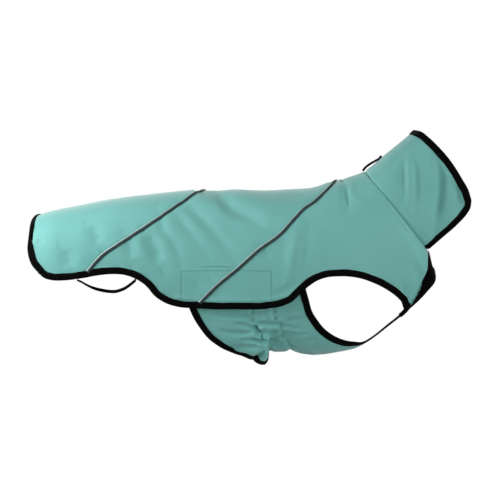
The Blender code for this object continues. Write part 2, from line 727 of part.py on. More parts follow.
def mirrored_points(points):
    return points * np.array((1.0, -1.0, 1.0))


def add_patch(name, is_left):
    """The hook patch, on the inside of the flank."""
    along = np.linspace(PATCH_REAR, PATCH_FRONT, PATCH_CELLS[0] + 1)
    height = np.linspace(PATCH_TOP, PATCH_LOW, PATCH_CELLS[1] + 1)
    x, z = np.meshgrid(along, height, indexing="ij")
    places = look_up(x, z)
    normals = normals_of(body_skin, places[..., 0], places[..., 1])
    points = body_skin(places[..., 0], places[..., 1]) - PATCH_DEPTH * normals
    if is_left:
        points, normals = mirrored_points(points), mirrored_points(normals)
    grid_object(name, points, normals, PATCH_WALL, "hook_tape", mirrored=False)


def add_elastic(name, is_left):
    """The hind-leg elastic, a loop under the hem that dips inward where the leg goes through it."""
    route = SmoothCurve(ELASTIC)(np.linspace(0, 1, ELASTIC_PLACES))
    ends = look_up(route[[0, -1], 0], route[[0, -1], 1] + ELASTIC_UNDER_HEM)
    flank = plain_skin(ends[:, 0], ends[:, 1])[:, 1] + ELASTIC_INSIDE
    share = np.linspace(0, 1, len(route))
    y = flank[0] + (flank[1] - flank[0]) * share + route[:, 2]
    centres = np.stack((route[:, 0], y, route[:, 1]), axis=-1)
    turn = ELASTIC_TWIST * np.sin(PI * share) * share
    across = np.stack((np.zeros_like(y), np.cos(turn), np.sin(turn)), axis=-1)
    if is_left:
        centres, across = mirrored_points(centres), mirrored_points(across)
    ribbon(name, centres, across, ELASTIC_WIDTH, ELASTIC_WALL, "black_tape")


def add_nape_loop():
    """A short webbing bridge over the neck seam."""
    route = SmoothCurve(NAPE_LOOP)(np.linspace(0, 1, LOOP_PLACES))
    centres = np.stack((route[:, 0], np.zeros(len(route)), route[:, 1]), axis=-1)
    across = np.tile((0.0, 1.0, 0.0), (len(route), 1))
    ribbon("nape_loop", centres, across, LOOP_WIDTH, LOOP_WALL, "black_tape")


def add_bindings(panels):
    rump, middle, shoulder = (panels[name] for name in ("rump_panel", "middle_panel", "shoulder_panel"))
    collar, belly = panels["collar"], panels["belly_panel"]

    side = stations(shoulder, "low", backward=True)
    flank = stations(middle, "low", backward=True)
    croup = stations(rump, "low", backward=True)
    rear = stations(rump, "left")
    hem = side[:-1] + [merged(side[-1], flank[0])] + flank[1:-1] + [merged(flank[-1], croup[0])]
    hem = hem + round_corner(croup[1:], corner_station(rump, 0, 0), rear)
    tape_object("hem_binding", hem, mirrored=True, shorten=TAPE_END)

    front = stations(collar, "right")
    mouth = stations(collar, "high", backward=True)
    corner = corner_station(collar, collar.points.shape[0] - 1, collar.points.shape[1] - 1)
    tape_object("collar_binding", round_corner(front, corner, mouth), mirrored=True)

    tape_object("belly_binding", stations(belly, "left")[1:], mirrored=True)
    leg = stations(belly, "low")[BELLY_CELLS_TOP:]
    for name, is_left in (("leg_binding_right", False), ("leg_binding_left", True)):
        if is_left:
            leg = [place.mirrored() for place in leg]
        tape_object(name, leg, mirrored=False, shorten=TAPE_END)


def add_panels(panels):
    seams = {
        "rump_panel": (("right", SEAM_INSET), ("left", TAPE_LIP), ("low", TAPE_LIP)),
        "middle_panel": (("left", SEAM_INSET), ("right", SEAM_INSET), ("low", TAPE_LIP)),
        "shoulder_panel": (("left", SEAM_INSET), ("right", SEAM_INSET), ("low", TAPE_LIP)),
        "collar": (("low", SEAM_INSET + GAP), ("right", TAPE_LIP), ("high", TAPE_LIP)),
        "belly_panel": (("left", TAPE_LIP), ("low", TAPE_LIP), ("right", SEAM_INSET)),
        "chest_insert": (("left", SEAM_INSET), ("right", SEAM_INSET), ("low", SEAM_INSET)),
    }
    for name, panel in panels.items():
        for side, distance in seams[name]:
            panel.draw_in(side, distance)
        cloth = "black_stretch" if name == "chest_insert" else "softshell"
        grid_object(name, panel.points, panel.normals, CLOTH, cloth, mirrored=True)


def clear_scene():
    for old in list(bpy.data.objects):
        bpy.data.objects.remove(old, do_unlink=True)
    collection = bpy.data.collections.new(COLLECTION)
    bpy.context.scene.collection.children.link(collection)


def main():
    clear_scene()
    panels = make_panels()
    add_panels(panels)
    add_bindings(panels)
    seam_piping("rear_piping", panels["rump_panel"], panels["middle_panel"])
    seam_piping("front_piping", panels["middle_panel"], panels["shoulder_panel"])
    for side, is_left in (("right", False), ("left", True)):
        add_patch("hook_patch_" + side, is_left)
        add_elastic("leg_elastic_" + side, is_left)
    add_nape_loop()


main()
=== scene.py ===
import math

import bpy
import numpy as np
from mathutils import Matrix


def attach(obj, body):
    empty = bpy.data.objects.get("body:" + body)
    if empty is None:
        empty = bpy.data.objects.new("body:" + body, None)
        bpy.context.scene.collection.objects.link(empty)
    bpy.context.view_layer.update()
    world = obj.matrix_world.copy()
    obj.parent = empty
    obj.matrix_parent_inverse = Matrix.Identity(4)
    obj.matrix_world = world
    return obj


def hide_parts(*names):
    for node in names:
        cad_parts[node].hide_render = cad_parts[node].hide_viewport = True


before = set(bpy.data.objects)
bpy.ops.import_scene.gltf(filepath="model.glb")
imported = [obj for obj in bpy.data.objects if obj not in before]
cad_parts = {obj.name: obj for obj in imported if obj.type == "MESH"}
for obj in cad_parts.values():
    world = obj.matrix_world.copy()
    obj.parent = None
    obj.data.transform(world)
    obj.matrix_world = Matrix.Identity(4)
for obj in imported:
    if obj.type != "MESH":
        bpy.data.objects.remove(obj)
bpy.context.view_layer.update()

# The looks of the dog coat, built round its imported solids. Every panel is made again as a fine sheet
# on the skin that its solid lies on, with the creases, gathers, seams and stitches of the worn coat.
# Lengths are in millimetres until a mesh is made.

MM = 0.001
PI = math.pi
RIGHT, LEFT = 1, -1      # hands of the coat: the right half faces -Y and the camera
HANDS = (("right", RIGHT), ("left", LEFT))

# ---- sizes, in millimetres but for the stage's

CLOTH = 1.5              # wall of the softshell
CELL, SHOULDER_CELL, BELLY_CELL = 2.1, 2.5, 2.0      # of the panels' meshes
EDGE_PITCH = 1.6         # between the places along an edge where tape or piping is shaped
DRAWN_ROWS = 8           # this many rows of cells give way where a panel's edge is drawn in
ON_PLANE = 0.02          # a point this near the middle plane is on it
ROUNDNESS = 0.86         # of the body's sections: 1 is an ellipse, less is squarer
EGG = 0.4                # and how much of them lies high: 0 is as wide below the middle as above
COLLAR_WIDTH_SEAM, COLLAR_WIDTH_MOUTH = 65, 58
THROAT_ANGLE, MOUTH_ANGLE = math.radians(152), math.radians(125)

SEAM_INSET = 0.1         # each panel's edge stays this far behind its seam line
COLLAR_TUCK = 0.6        # the collar's edge passes this far under the trunk's, in the neck seam
TAPE_LIP = 1.16          # how far the folded tape reaches past the cloth's edge
TAPE_WIDTH = 10.2        # of each leg of the folded tape, from its fold
TAPE_NEAR_TIP, TAPE_TIP_REACH = 0.7, 14      # share by which it is thicker near the leg opening's tip
STITCH_PITCH, STITCH_LENGTH, THREAD_RADIUS, HOLE_RADIUS = 3.0, 2.3, 0.24, 0.6
STITCH_IN, STITCH_OVER = 8.5, 1.05       # the tape's stitches, from its fold and over the cloth
PIPING_SEAT = 0.65       # the piping lies this high over the cloth
PATCH_DEPTH, PATCH_WALL = 2.3, 0.9
PATCH_REAR, PATCH_FRONT, PATCH_TOP, PATCH_LOW = -97, 30, -117, -157.5
ELASTIC_WIDTH, ELASTIC_WALL = 5.0, 1.6
ELASTIC_UNDER_HEM, ELASTIC_INSIDE, ELASTIC_TWIST = 2.0, 1.5, math.radians(66)
LOOP_WIDTH, LOOP_WALL = 14.0, 3.2

# A crease's run is its dark line, so the trough lies beside it, by this share of its reach
BODY_LEAN, COLLAR_LEAN, BELLY_LEAN = 0.55, 0.35, -0.8
# How much wider and deeper the creases are than in the tables
BODY_SPREAD, BODY_STRENGTH = 1.35, 1.3
BELLY_SPREAD, BELLY_STRENGTH = 1.0, 3.0
WAVE_SHIFT = 55          # moves the low waves of the left half
SEAM_SINK, SEAM_PUCKER, SEAM_PITCH = 0.7, 0.28, 11       # of the piped seams
HEM_PUCKER, HEM_PITCH = 0.2, 14
HEM_ROLL_HEIGHT = 1.15
NECK_GROOVE, NECK_ROLL = 2.2, 0.35       # depth of the neck seam, and height of the rolls beside it
PATCH_STITCH_SINK = 0.14
PUCKER_PITCH, PUCKER_DEPTH = 10.0, 3.6       # of the belly's gathers, along an elastic line
LINE_SINK, LINE_RIDGE = 1.1, 0.9         # of the elastic line itself, and of the cloth beside it

BELLY_INSET = 5.6        # the belly panel passes this far inside the flanks
BELLY_INSET_FULL, BELLY_INSET_NONE = math.radians(124), math.radians(160)
BELLY_IN_SIGHT = (158, 176)      # how low the belly's creases set in, and are full
STRAP_FROM, STRAP_TO = (150, 172), (224, 238)    # x where the strap turns flat and ends
STRAP_HEIGHT = (7, 15)           # over the lowest line, where the flatness ends
STRAP_LIFT, STRAP_ARCH = 1.2, 0.05
INSERT_DEPTH = 0.5               # the chest insert lies this far under the shoulder panel's face
INSERT_HOLLOW, INSERT_RISE = 5.4, 1.4        # its hollow below the collar, shallower towards the top
HOLLOW_HEIGHTS, RISE_HEIGHTS, HOLLOW_SIDES = (-113.5, -106.5), (-104, -90), (9, 30)

# Stage and camera, in metres
FLOOR_HEIGHT, FLOOR_SIZE = -0.47, 14.0
PICTURE_WIDTH, PICTURE_MIDDLE, CAMERA_DISTANCE = 0.725, -0.0863, 3.0
LIGHT_TARGET = (0.0, 0.0, -0.07)
# name, power, size, place, spread in degrees
LIGHTS = (
    ("key", 1.0, 0.9, (-1.0, -0.9, 1.3), 60),
    ("front_high", 0.5, 1.0, (1.2, -0.4, 1.3), 60),
    ("front", 1.25, 0.9, (1.7, -0.8, 0.7), 60),
    ("near_rear", 2.5, 0.4, (-0.85, -0.3, 0.12), 110),
    ("near_side", 0.15, 0.4, (-0.75, -0.45, -0.05), 110),
    ("chest", 0.8, 0.4, (0.6, -0.7, -0.2), 110),
    ("far_key", 1.5, 1.2, (-1.0, 1.6, 0.8), 60),
    ("far_front", 0.7, 1.2, (1.3, 1.3, 0.5), 60),
)

# ---- form, as the solids have it

# spine_x, spine_z: on the back; low_x, low_z: on the belly, chest or throat; half_width: of the body
SECTIONS = (
    (-342, -66, -354, -209, 57), (-319, -42, -333, -213, 65), (-297, -32.5, -307, -217, 70),
    (-246.5, -21.5, -252, -217, 76), (-188.5, -10.5, -193, -217, 80), (-138, -4.5, -142, -221, 82),
    (-87, 0.5, -90, -231, 84), (-36, 1.6, -32, -244, 87), (0, 1.5, 17, -248.5, 89),
    (29, 1.4, 61, -241.5, 90), (58, 2.4, 116, -236, 90), (78, 3.6, 162, -225, 88), (96, 6, 203, -196, 84),
    (112, 11, 230, -174.6, 79), (127.5, 15, 256.5, -148, 75), (145, 20, 270.5, -127, 71),
    (156.5, 24, 268, -110.5, 68), (167, 28, 263.7, -93.1, 65),
)

# x and z of the outlines, as seen from the side
REAR_EDGE = (
    (-304.5, -122.5), (-317.5, -106.5), (-323, -85), (-321, -67), (-318.4, -48.5), (-312, -30),
)
RUMP_HEM = (
    (-304.5, -122.5), (-297.5, -127.5), (-287.5, -130.2), (-268, -130.4), (-242.2, -127.3),
)
MIDDLE_HEM = (
    (-242.2, -127.3), (-222, -123.5), (-197.6, -121.4), (-181.3, -122.8), (-165.3, -128.6),
    (-153.1, -136.6), (-135.7, -155.3), (-121.8, -163.7), (-105.3, -168.7), (-80.5, -171.3),
)
SIDE_HEM = (
    (-80.5, -171.3), (-49.3, -172.3), (-1.5, -172.8), (26, -171.4), (46.4, -168), (60, -162),
    (71.6, -151.5), (81, -142.6), (90, -135.6), (100.1, -129.8), (113.1, -125.9), (136.3, -124.6),
    (155.2, -126.6), (175.5, -132.7), (197.2, -143.3), (210.3, -152.3), (218, -159.6), (222.4, -164.6),
    (224.4, -169.6), (222.4, -174.4), (218, -177.5),
)
REAR_SEAM = (
    (-242.2, -127.3), (-233.7, -116), (-214.6, -94.6), (-189.2, -77), (-146.9, -49.5), (-105.3, -21),
    (-77.6, -3), (-66, 20),
)
FRONT_SEAM = (
    (-80.5, -171.3), (-71.9, -162.4), (-49.7, -140), (-16, -112), (11.6, -87), (42, -65), (64.7, -40.5),
    (78.3, -26.4), (95.3, -14.4), (108.8, -1.5), (117.5, 7), (124.4, 15),
)
CHEST_EDGE = (
    (258, -86.2), (258, -97), (257.8, -110.5), (253.5, -124), (247, -140), (239.3, -154), (233, -163),
    (227, -171), (218, -177.5),
)
BELLY_REAR = (
    (-100, -112), (-95, -144), (-89, -171.5), (-83.5, -185), (-74, -200.8), (-60, -217), (-46, -226.5),
    (-26.5, -235.2), (-2, -242.5), (23, -260),
)
BELLY_TOP = (
    (-100, -112), (-50, -110), (0, -110), (44, -115), (77.5, -127),
)
LEG_EDGE = (
    (77.5, -127), (81, -143.3), (85.6, -160.2), (90.3, -177.2), (98.6, -191), (108.5, -203),
    (120.4, -211.6), (134.9, -217.6), (149, -220.4), (165.3, -218), (177.5, -211.5), (190, -202),
    (203, -190.4), (211, -184), (218, -177.5),
)
BELLY_LINE_START = (23, -260)
BELLY_MIDDLE = (0.6, 2.7)        # station and angle of a place in the belly panel
TIP = (218, -177.5)
TIP_ANCHOR = (226, -163)      # a place inside the shoulder panel, near the tip
COLLAR_NAPE = ((167, 28), (239, 87.5))
COLLAR_FRONT = (
    (258, -86), (280, -67.5), (301.2, -49), (313, -36.5), (320, -25), (321.5, -13.5),
)
COLLAR_MOUTH = (
    (239, 87.5), (247, 86), (259.6, 76.8), (273.5, 63.4), (287.1, 48.1), (297.2, 34.1), (308.1, 16.2),
    (316.5, 1.5), (321.5, -13.5),
)
# x, z, inward
ELASTIC = (
    (-250.5, -130, 0), (-245.5, -132, 1), (-238.5, -136, 6), (-228.3, -140.9, 18), (-217.9, -144, 28),
    (-207, -146, 33), (-196, -146.5, 31), (-186.4, -144, 24), (-174, -136.7, 8), (-165.8, -130, 0),
)
NAPE_LOOP = (
    (163.5, 28.3), (166.5, 32.4), (171, 36.4), (176.8, 40.2), (182.6, 43.4), (187.6, 46.6), (190.4, 50.4),
)

# ---- creases of the worn cloth

# reach_up, reach_down: how far it spreads on the upper and on the lower side of its run; depth: of
# the trough, or below zero a ridge's height; then x and z of its run as seen from the side
BODY_CREASES = (
    (11, 9, 4.4, ((-66.7, -5.1), (-49.3, -12.3), (-29, -31.2), (-8.7, -41.3), (13, -52.9), (29, -60.2))),
    (8, 9, 2.4, ((-100, -21), (-77.6, -42.8), (-56.6, -65.3), (-40.6, -83.4), (-29, -99.3))),
    (7, 7, 1.4, ((-114.6, -34.1), (-94, -58.7), (-68.2, -90.6))),
    (6, 7, 1.2, ((-136.3, -28.3), (-133.4, -47.1), (-129, -63.1), (-114.6, -79), (-105.9, -102.2))),
    (10, 9, 2.5, ((-155.2, -63.8), (-142.7, -90.6), (-133.4, -109.5))),
    (9, 8, 1.5, ((-186, -66), (-181, -84), (-175.5, -103.7))),
    (10, 10, 1.4, ((-237.8, -52.9), (-221.9, -80.5))),
    (11, 11, 1.5, ((-275.5, -87.7), (-266.8, -115.3))),
    (6, 6, 0.7, ((-313, -76), (-301.6, -83.4))),
    (9, 8, 1.1, ((-16, -2.2), (26.1, -8), (53.7, -13.8), (71, -12.3), (95.7, 0))),
    (5, 6, 3.6, ((132.8, 9.5), (135, -8), (136.6, -26))),
    (9, 9, -2.1, ((64, -54), (50, -124))),
    (8, 8, 1.6, ((88, -60), (80, -108))),
    (12, 9, -0.6, ((110, -108), (140, -92), (176, -80))),
    (9, 7, 0.4, ((118, -92), (150, -74), (186, -64))),
    (5, 5, 0.8, ((214, -134), (223, -152))),
    (7, 7, 1.5, ((231, -103), (242, -135))),
    (6, 6, 1.7, ((10, -83.4), (26, -103.7))),
    (5, 5, 0.7, ((-84, -134), (-72.5, -148.6))),
    (4, 4, 0.7, ((-62, -121), (-55, -138.5))),
    (4, 4, 0.7, ((-50.8, -145), (-43, -156))),
    (5, 5, 0.8, ((-147, -143), (-138, -150))),
    (6, 6, 0.7, ((38, -156), (68, -141))),
    (7, 6, -1.5, ((154.4, -2.3), (172.4, -24.3))),
)
COLLAR_CREASES = (
    (5, 5, -2.2, ((233.5, 52), (234.5, 20), (233.5, -26))),
    (5, 5, 1.8, ((226, 52), (225, 30), (224, -10))),
    (5, 5, 1.3, ((243, 58), (244, 20), (242, -34))),
    (7, 9, 5.6, ((276.5, 47), (280.5, 16.7), (275.5, -30), (272, -56))),
    (6, 5, 3.2, ((295.3, 9), (300.2, -15.2), (300, -24))),
    (5, 5, -1.2, ((259, 50), (260, 10), (258, -50))),
    (8, 8, -0.9, ((205, 42), (209, 10), (212, -20))),
)
# The two elastic lines of the belly, and the wrinkles that they gather
ELASTIC_LINES = (
    ((1.2, -165), (3.9, -189.2), (9.4, -200.8), (16, -210.4), (18.9, -217.4), (24.7, -226.9),
     (29.5, -236), (31, -244)),
    ((33.1, -162), (35.8, -186.3), (42.8, -195), (45.5, -204.7), (49.7, -218.7), (53.7, -224),
     (58, -231.9), (60, -244)),
)
BELLY_CREASES = (
    (3.5, 3.5, 2, ((-16, -193.5), (0, -196.9), (10.9, -200.5), (16.4, -205.9), (25.4, -206.8),
                   (43.5, -205), (60, -207))),
    (3.5, 3.5, 2.2, ((-8.6, -215.8), (14.5, -217.6), (25.4, -220.4), (36.3, -224), (52.6, -224))),
    (3, 3, 1.6, ((13, -208.4), (23.6, -218.7), (43.5, -218.7))),
    (4, 4, 1.5, ((2, -189), (10.9, -190.5), (25.4, -192.1), (36.3, -193.3), (66.6, -199.7))),
    (5, 4, 1.4, ((-47.1, -178.9), (0, -180.8), (18, -180))),
    (3.5, 3.5, 2.4, ((3.3, -240.5), (14, -234), (25.4, -227.7))),
    (3.5, 3.5, 1.2, ((47.1, -211.4), (60, -210), (78.5, -209.5))),
    (3, 3, 1.3, ((25.4, -213.2), (43.5, -213.9), (50.8, -212))),
    (3, 3, 1.6, ((25.4, -229.5), (40, -231), (56.2, -229.5))),
    (5, 5, 0.9, ((-40, -203), (-14, -206), (6, -204))),
    (4, 4, 1, ((-24, -224), (-4, -225), (16, -222))),
    (4, 4, 0.9, ((52, -219), (70, -219), (88, -216))),
    (5, 5, 0.8, ((44, -190), (62, -186), (78, -184))),
)
# How far the elastics draw the belly up along its middle: x, then the distance
GATHER = (
    (-14, 0), (6, -2.5), (16, -4.5), (21, -4), (25.4, 0.8), (27, 4), (28.9, 12.5), (33, 12.8), (42, 10.3),
    (50, 8.9), (56, 8.4), (60, 8), (64, 7), (74, 3.6), (90, 0.4), (112, 0),
)
# The stitching of the hook patch, as it shows on the flank, and a second short row above it
PATCH_STITCHES = (
    ((-100, -158.5), (-100.3, -137), (-99.5, -116.9)),
    ((-99.5, -116.9), (-35, -116.2), (30.2, -116.9)),
    ((30.2, -116.9), (30.8, -135), (31.2, -158)),
    ((-70, -110.6), (-48, -110), (-26, -110.8)),
)

# The cloth stands up a little beside the hem's tape
HEM_ROLL = ((-106, -154.6), (-80, -158.2), (-30, -159.2), (20, -158.4), (46, -154.4))


# ---- curves and skins

class SmoothCurve:
    """A smooth curve through a few rows of numbers, read from 0 to 1 along its length."""

    def __init__(self, rows, measured=None):
        self.rows = np.array(rows, dtype=float)
        measured = self.rows if measured is None else np.array(measured, dtype=float)
        steps = np.linalg.norm(np.diff(measured, axis=0), axis=1)
        self.knots = np.concatenate(([0.0], np.cumsum(steps))) / steps.sum()
        self.slopes = np.gradient(self.rows, self.knots, axis=0)

    def __call__(self, place):
        place = np.clip(np.asarray(place, dtype=float), 0.0, 1.0)
        span = np.clip(np.searchsorted(self.knots, place, side="right") - 1, 0, len(self.knots) - 2)
        length = (self.knots[span + 1] - self.knots[span])[..., None]
        t = (place[..., None] - self.knots[span][..., None]) / length
        start, end = self.rows[span], self.rows[span + 1]
        slope_in, slope_out = self.slopes[span] * length, self.slopes[span + 1] * length
        return ((2 * t ** 3 - 3 * t ** 2 + 1) * start + (t ** 3 - 2 * t ** 2 + t) * slope_in
                + (3 * t ** 2 - 2 * t ** 3) * end + (t ** 3 - t ** 2) * slope_out)


def joined(first, second, split):
    """One curve that runs along the first up to split, and then along the second."""
    def curve(place):
        place = np.asarray(place, dtype=float)
        early = first(np.clip(place / split, 0, 1))
        late = second(np.clip((place - split) / (1 - split), 0, 1))
        return np.where((place < split)[..., None], early, late)
    return curve


def reverse(curve):
    return lambda place: curve(1 - np.asarray(place, dtype=float))


def straight(start, end):
    start, end = np.array(start, dtype=float), np.array(end, dtype=float)
    return lambda place: start + (end - start) * np.asarray(place, dtype=float)[..., None]


def smooth_step(value, start, end):
    t = np.clip((value - start) / (end - start), 0, 1)
    return t * t * (3 - 2 * t)


def unit(vectors):
    return vectors / np.maximum(np.linalg.norm(vectors, axis=-1, keepdims=True), 1e-12)


def dot(first, second):
    return (first * second).sum(axis=-1)


def square_to(vectors, tangents):
    return unit(vectors - dot(vectors, tangents)[..., None] * tangents)


def mirrored(points):
    return points * (1.0, -1.0, 1.0)


def placed(hand, *arrays):
    """Points and directions that were worked out on the right half, on the half of the given hand."""
    return arrays if hand == RIGHT else [mirrored(each) for each in arrays]


def lengths_along(points):
    """The length from the first of a row of points, or of each of many rows, to every one."""
    steps = np.linalg.norm(np.diff(points, axis=0), axis=-1)
    return np.concatenate((np.zeros_like(steps[:1]), np.cumsum(steps, axis=0)))


def falloff(distance, width, power=2):
    """1 at no distance, and softly less within a width."""
    return np.exp(-(distance / width) ** power)


SECTION_TABLE = np.array(SECTIONS)
BODY = SmoothCurve(SECTIONS, measured=(SECTION_TABLE[:, 0:2] + SECTION_TABLE[:, 2:4]) / 2)


def swing(angle):
    """The share of its half width that a section has at an angle round it."""
    leaning = angle + EGG * np.sin(angle) * np.cos(angle / 2) ** 2
    return np.sign(np.sin(leaning)) * np.abs(np.sin(leaning)) ** ROUNDNESS


def plain_skin(station, angle):
    spine_x, spine_z, low_x, low_z, half_width = np.moveaxis(BODY(station), -1, 0)
    drop = (1 - np.cos(angle)) / 2
    x = spine_x + (low_x - spine_x) * drop
    z = spine_z + (low_z - spine_z) * drop
    return np.stack((x, -half_width * swing(angle), z), axis=-1)


def collar_form():
    nape, front = straight(*COLLAR_NAPE), SmoothCurve(COLLAR_FRONT)
    seam, mouth = straight(COLLAR_NAPE[0], COLLAR_FRONT[0]), SmoothCurve(COLLAR_MOUTH)

    def form(height, around):
        last_angle = THROAT_ANGLE + (MOUTH_ANGLE - THROAT_ANGLE) * height
        angle = around * last_angle
        share = (1 - np.cos(angle)) / (1 - np.cos(last_angle))
        h, s = height[..., None], share[..., None]
        side_view = ((1 - h) * seam(share) + h * mouth(share) + (1 - s) * nape(height) + s * front(height)
                     - (1 - h) * (1 - s) * nape(0.0) - h * (1 - s) * nape(1.0)
                     - (1 - h) * s * front(0.0) - h * s * front(1.0))
        half_width = COLLAR_WIDTH_SEAM + (COLLAR_WIDTH_MOUTH - COLLAR_WIDTH_SEAM) * height
        return np.stack((side_view[..., 0], -half_width * swing(angle), side_view[..., 1]), axis=-1)
    return form


plain_collar = collar_form()


def normals_of(form, first, second):
    """Outward unit normals of a form, from small steps on it."""
    step, turn = 0.002, 0.01
    along = form(np.minimum(first + step, 1.0), second) - form(np.maximum(first - step, 0.0), second)
    around = form(first, second + turn) - form(first, second - turn)
    return unit(np.cross(around, along))


def look_up(x, z):
    """Station and angle of places on the body that the side view shows at x, z."""
    x, z = np.asarray(x, dtype=float), np.asarray(z, dtype=float)
    low, high = np.zeros_like(x), np.ones_like(x)
    for _ in range(40):
        middle = (low + high) / 2
        spine_x, spine_z, low_x, low_z, _width = np.moveaxis(BODY(middle), -1, 0)
        is_ahead = (low_x - spine_x) * (z - spine_z) - (low_z - spine_z) * (x - spine_x) > 0
        low, high = np.where(is_ahead, middle, low), np.where(is_ahead, high, middle)
    spine_x, spine_z, low_x, low_z, _width = np.moveaxis(BODY(low), -1, 0)
    reach_x, reach_z = low_x - spine_x, low_z - spine_z
    drop = ((x - spine_x) * reach_x + (z - spine_z) * reach_z) / (reach_x ** 2 + reach_z ** 2)
    return np.stack((low, np.arccos(1 - 2 * np.clip(drop, 0, 1))), axis=-1)


def outline(points):
    """A side-view outline as a curve of station and angle."""
    points = np.array(points)
    places = look_up(points[:, 0], points[:, 1])
    return SmoothCurve(places, measured=plain_skin(places[:, 0], places[:, 1]))


# ---- relief

def near_run(side_view, run):
    """For each point, its distance from a run, + on the run's left, and the length along the run."""
    best = np.full(len(side_view), np.inf)
    signed, place = np.zeros(len(side_view)), np.zeros(len(side_view))
    start = 0.0
    for first, second in zip(run, run[1:]):
        step = second - first
        length = math.hypot(*step)
        offset = side_view - first
        t = np.clip((offset @ step) / length ** 2, 0, 1)
        offset = offset - t[:, None] * step
        distance = np.hypot(offset[:, 0], offset[:, 1])
        closer = distance < best
        best = np.where(closer, distance, best)
        side = np.sign(step[0] * offset[:, 1] - step[1] * offset[:, 0])
        signed = np.where(closer, side * distance, signed)
        place = np.where(closer, start + t * length, place)
        start += length
    return signed, place, start


def trough(u):
    """Depth across a crease: a soft trough between two low shoulders."""
    return np.exp(-(1.4 * u) ** 2) - 0.12 * np.exp(-(1.7 * (np.abs(u) - 1.45)) ** 2)


def crease_depth(points, other_hand, creases, lean, spread, strength):
    """How far the creases draw the cloth in. The other hand has like ones, moved and of other depths."""
    side_view = points[:, [0, 2]]
    total = np.zeros(len(side_view))
    for number, (reach_up, reach_down, depth, table) in enumerate(creases):
        table = np.array(table, dtype=float)
        reach_up, reach_down, depth = spread * reach_up, spread * reach_down, strength * depth
        if other_hand:
            table = table + (6.0 * math.sin(2.3 * number + 0.7), 4.0 * math.sin(1.9 * number + 2.0))
            depth = depth * (1.0 + 0.3 * math.sin(3.1 * number + 1.0))
        run = SmoothCurve(table)(np.linspace(0, 1, 4 * len(table)))
        margin = 2.6 * max(reach_up, reach_down)
        low, high = run.min(axis=0) - margin, run.max(axis=0) + margin
        there = np.nonzero(((side_view > low) & (side_view < high)).all(axis=1))[0]
        if len(there) == 0:
            continue
        distance, place, length = near_run(side_view[there], run)
        runs_right = run[-1, 0] >= run[0, 0]
        reach = reach_down if lean * depth > 0 else reach_up
        over = distance * (1 if runs_right else -1) - lean * reach * np.sign(depth)
        u = over / np.where(over > 0, reach_up, reach_down)
        fade = 0.3 + 0.7 * smooth_step(np.minimum(place, length - place), 0, 0.35 * length)
        total[there] += depth * fade * trough(u)
    return total + soft_waves(points, WAVE_SHIFT * other_hand)


def soft_waves(points, shift):
    """Very low waves, so that no stretch of cloth is perfectly even."""
    x, y, z = points[:, 0] + shift, points[:, 1], points[:, 2]
    return (0.32 * np.sin(x / 19 + z / 27 + 1.3) * np.sin(z / 15 - x / 41 + 0.4)
            + 0.16 * np.sin(x / 8.1 - z / 9.7 + y / 23) * np.sin(x / 31 + z / 12.3 + 2.1))


def seam_relief(side_view, run, sink, pucker, pitch):
    """A seam's shallow hollow and the small puckers beside it."""
    distance, place, _length = near_run(side_view, run)
    wander = 1.6 * np.sin(place / 5.3) + 1.1 * np.sin(place / 12.7 + 1.0)
    wave = np.sin(2 * PI * place / pitch + wander) * (0.55 + 0.45 * np.sin(place / 17 + 2.0))
    return sink * falloff(distance, 3.5) + pucker * wave * falloff(np.abs(distance) - 5.0, 4.5)


def side_runs(tables):
    return [SmoothCurve(table)(np.linspace(0, 1, 5 * len(table))) for table in tables]


SEAM_RUNS = side_runs((REAR_SEAM, FRONT_SEAM))
HEM_RUNS = side_runs((REAR_EDGE, RUMP_HEM, MIDDLE_HEM, SIDE_HEM))
STITCH_RUNS = side_runs(PATCH_STITCHES)
ROLL_RUN = side_runs((HEM_ROLL,))[0]
NECK_RUN = np.array((COLLAR_NAPE[0], COLLAR_FRONT[0]))


def neck_groove(side_view):
    """The neck seam's sharp groove, between two soft rolls of cloth."""
    distance = np.abs(near_run(side_view, NECK_RUN)[0])
    return NECK_GROOVE * falloff(distance, 1.6, 1.2) - NECK_ROLL * falloff(distance - 4.0, 2.4)


def off_neck(side_view):
    """The share of the creases that is left near the neck seam, where both sides have to meet."""
    return 1 - falloff(near_run(side_view, NECK_RUN)[0], 6.0)


def body_depth(points, other_hand):
    side_view = points[:, [0, 2]]
    total = crease_depth(points, other_hand, BODY_CREASES, BODY_LEAN, BODY_SPREAD, BODY_STRENGTH)
    total *= off_neck(side_view)
    for run in SEAM_RUNS:
        total += seam_relief(side_view, run, SEAM_SINK, SEAM_PUCKER, SEAM_PITCH)
    for run in HEM_RUNS:
        total += seam_relief(side_view, run, 0, HEM_PUCKER, HEM_PITCH)
    total += neck_groove(side_view)
    for run in STITCH_RUNS:
        total += PATCH_STITCH_SINK * falloff(near_run(side_view, run)[0], 1.8)
    return total - HEM_ROLL_HEIGHT * falloff(near_run(side_view, ROLL_RUN)[0], 1.5)


def collar_depth(points, other_hand):
    side_view = points[:, [0, 2]]
    total = crease_depth(points, other_hand, COLLAR_CREASES, COLLAR_LEAN, BODY_SPREAD, BODY_STRENGTH)
    return total * off_neck(side_view) + neck_groove(side_view)


def belly_depth(points, other_hand):
    total = crease_depth(points, other_hand, BELLY_CREASES, BELLY_LEAN, BELLY_SPREAD, BELLY_STRENGTH)
    for number, line in enumerate(side_runs(ELASTIC_LINES)):
        distance, place, _length = near_run(points[:, [0, 2]], line)
        wander = 0.7 * np.sin(place / 7.3 + number) + 0.45 * np.sin(place / 3.9 + 2.0 * number)
        pinch = 1 - np.abs(np.cos(PI * place / PUCKER_PITCH + wander + 1.1 * other_hand))
        fan = falloff(np.maximum(np.abs(distance) - 1.5, 0), 7.5, 1.3)
        total += LINE_SINK * falloff(distance, 2.4) + PUCKER_DEPTH * pinch ** 1.4 * fan
        total -= LINE_RIDGE * falloff(np.abs(distance) - 6.0, 4.0)
    return total


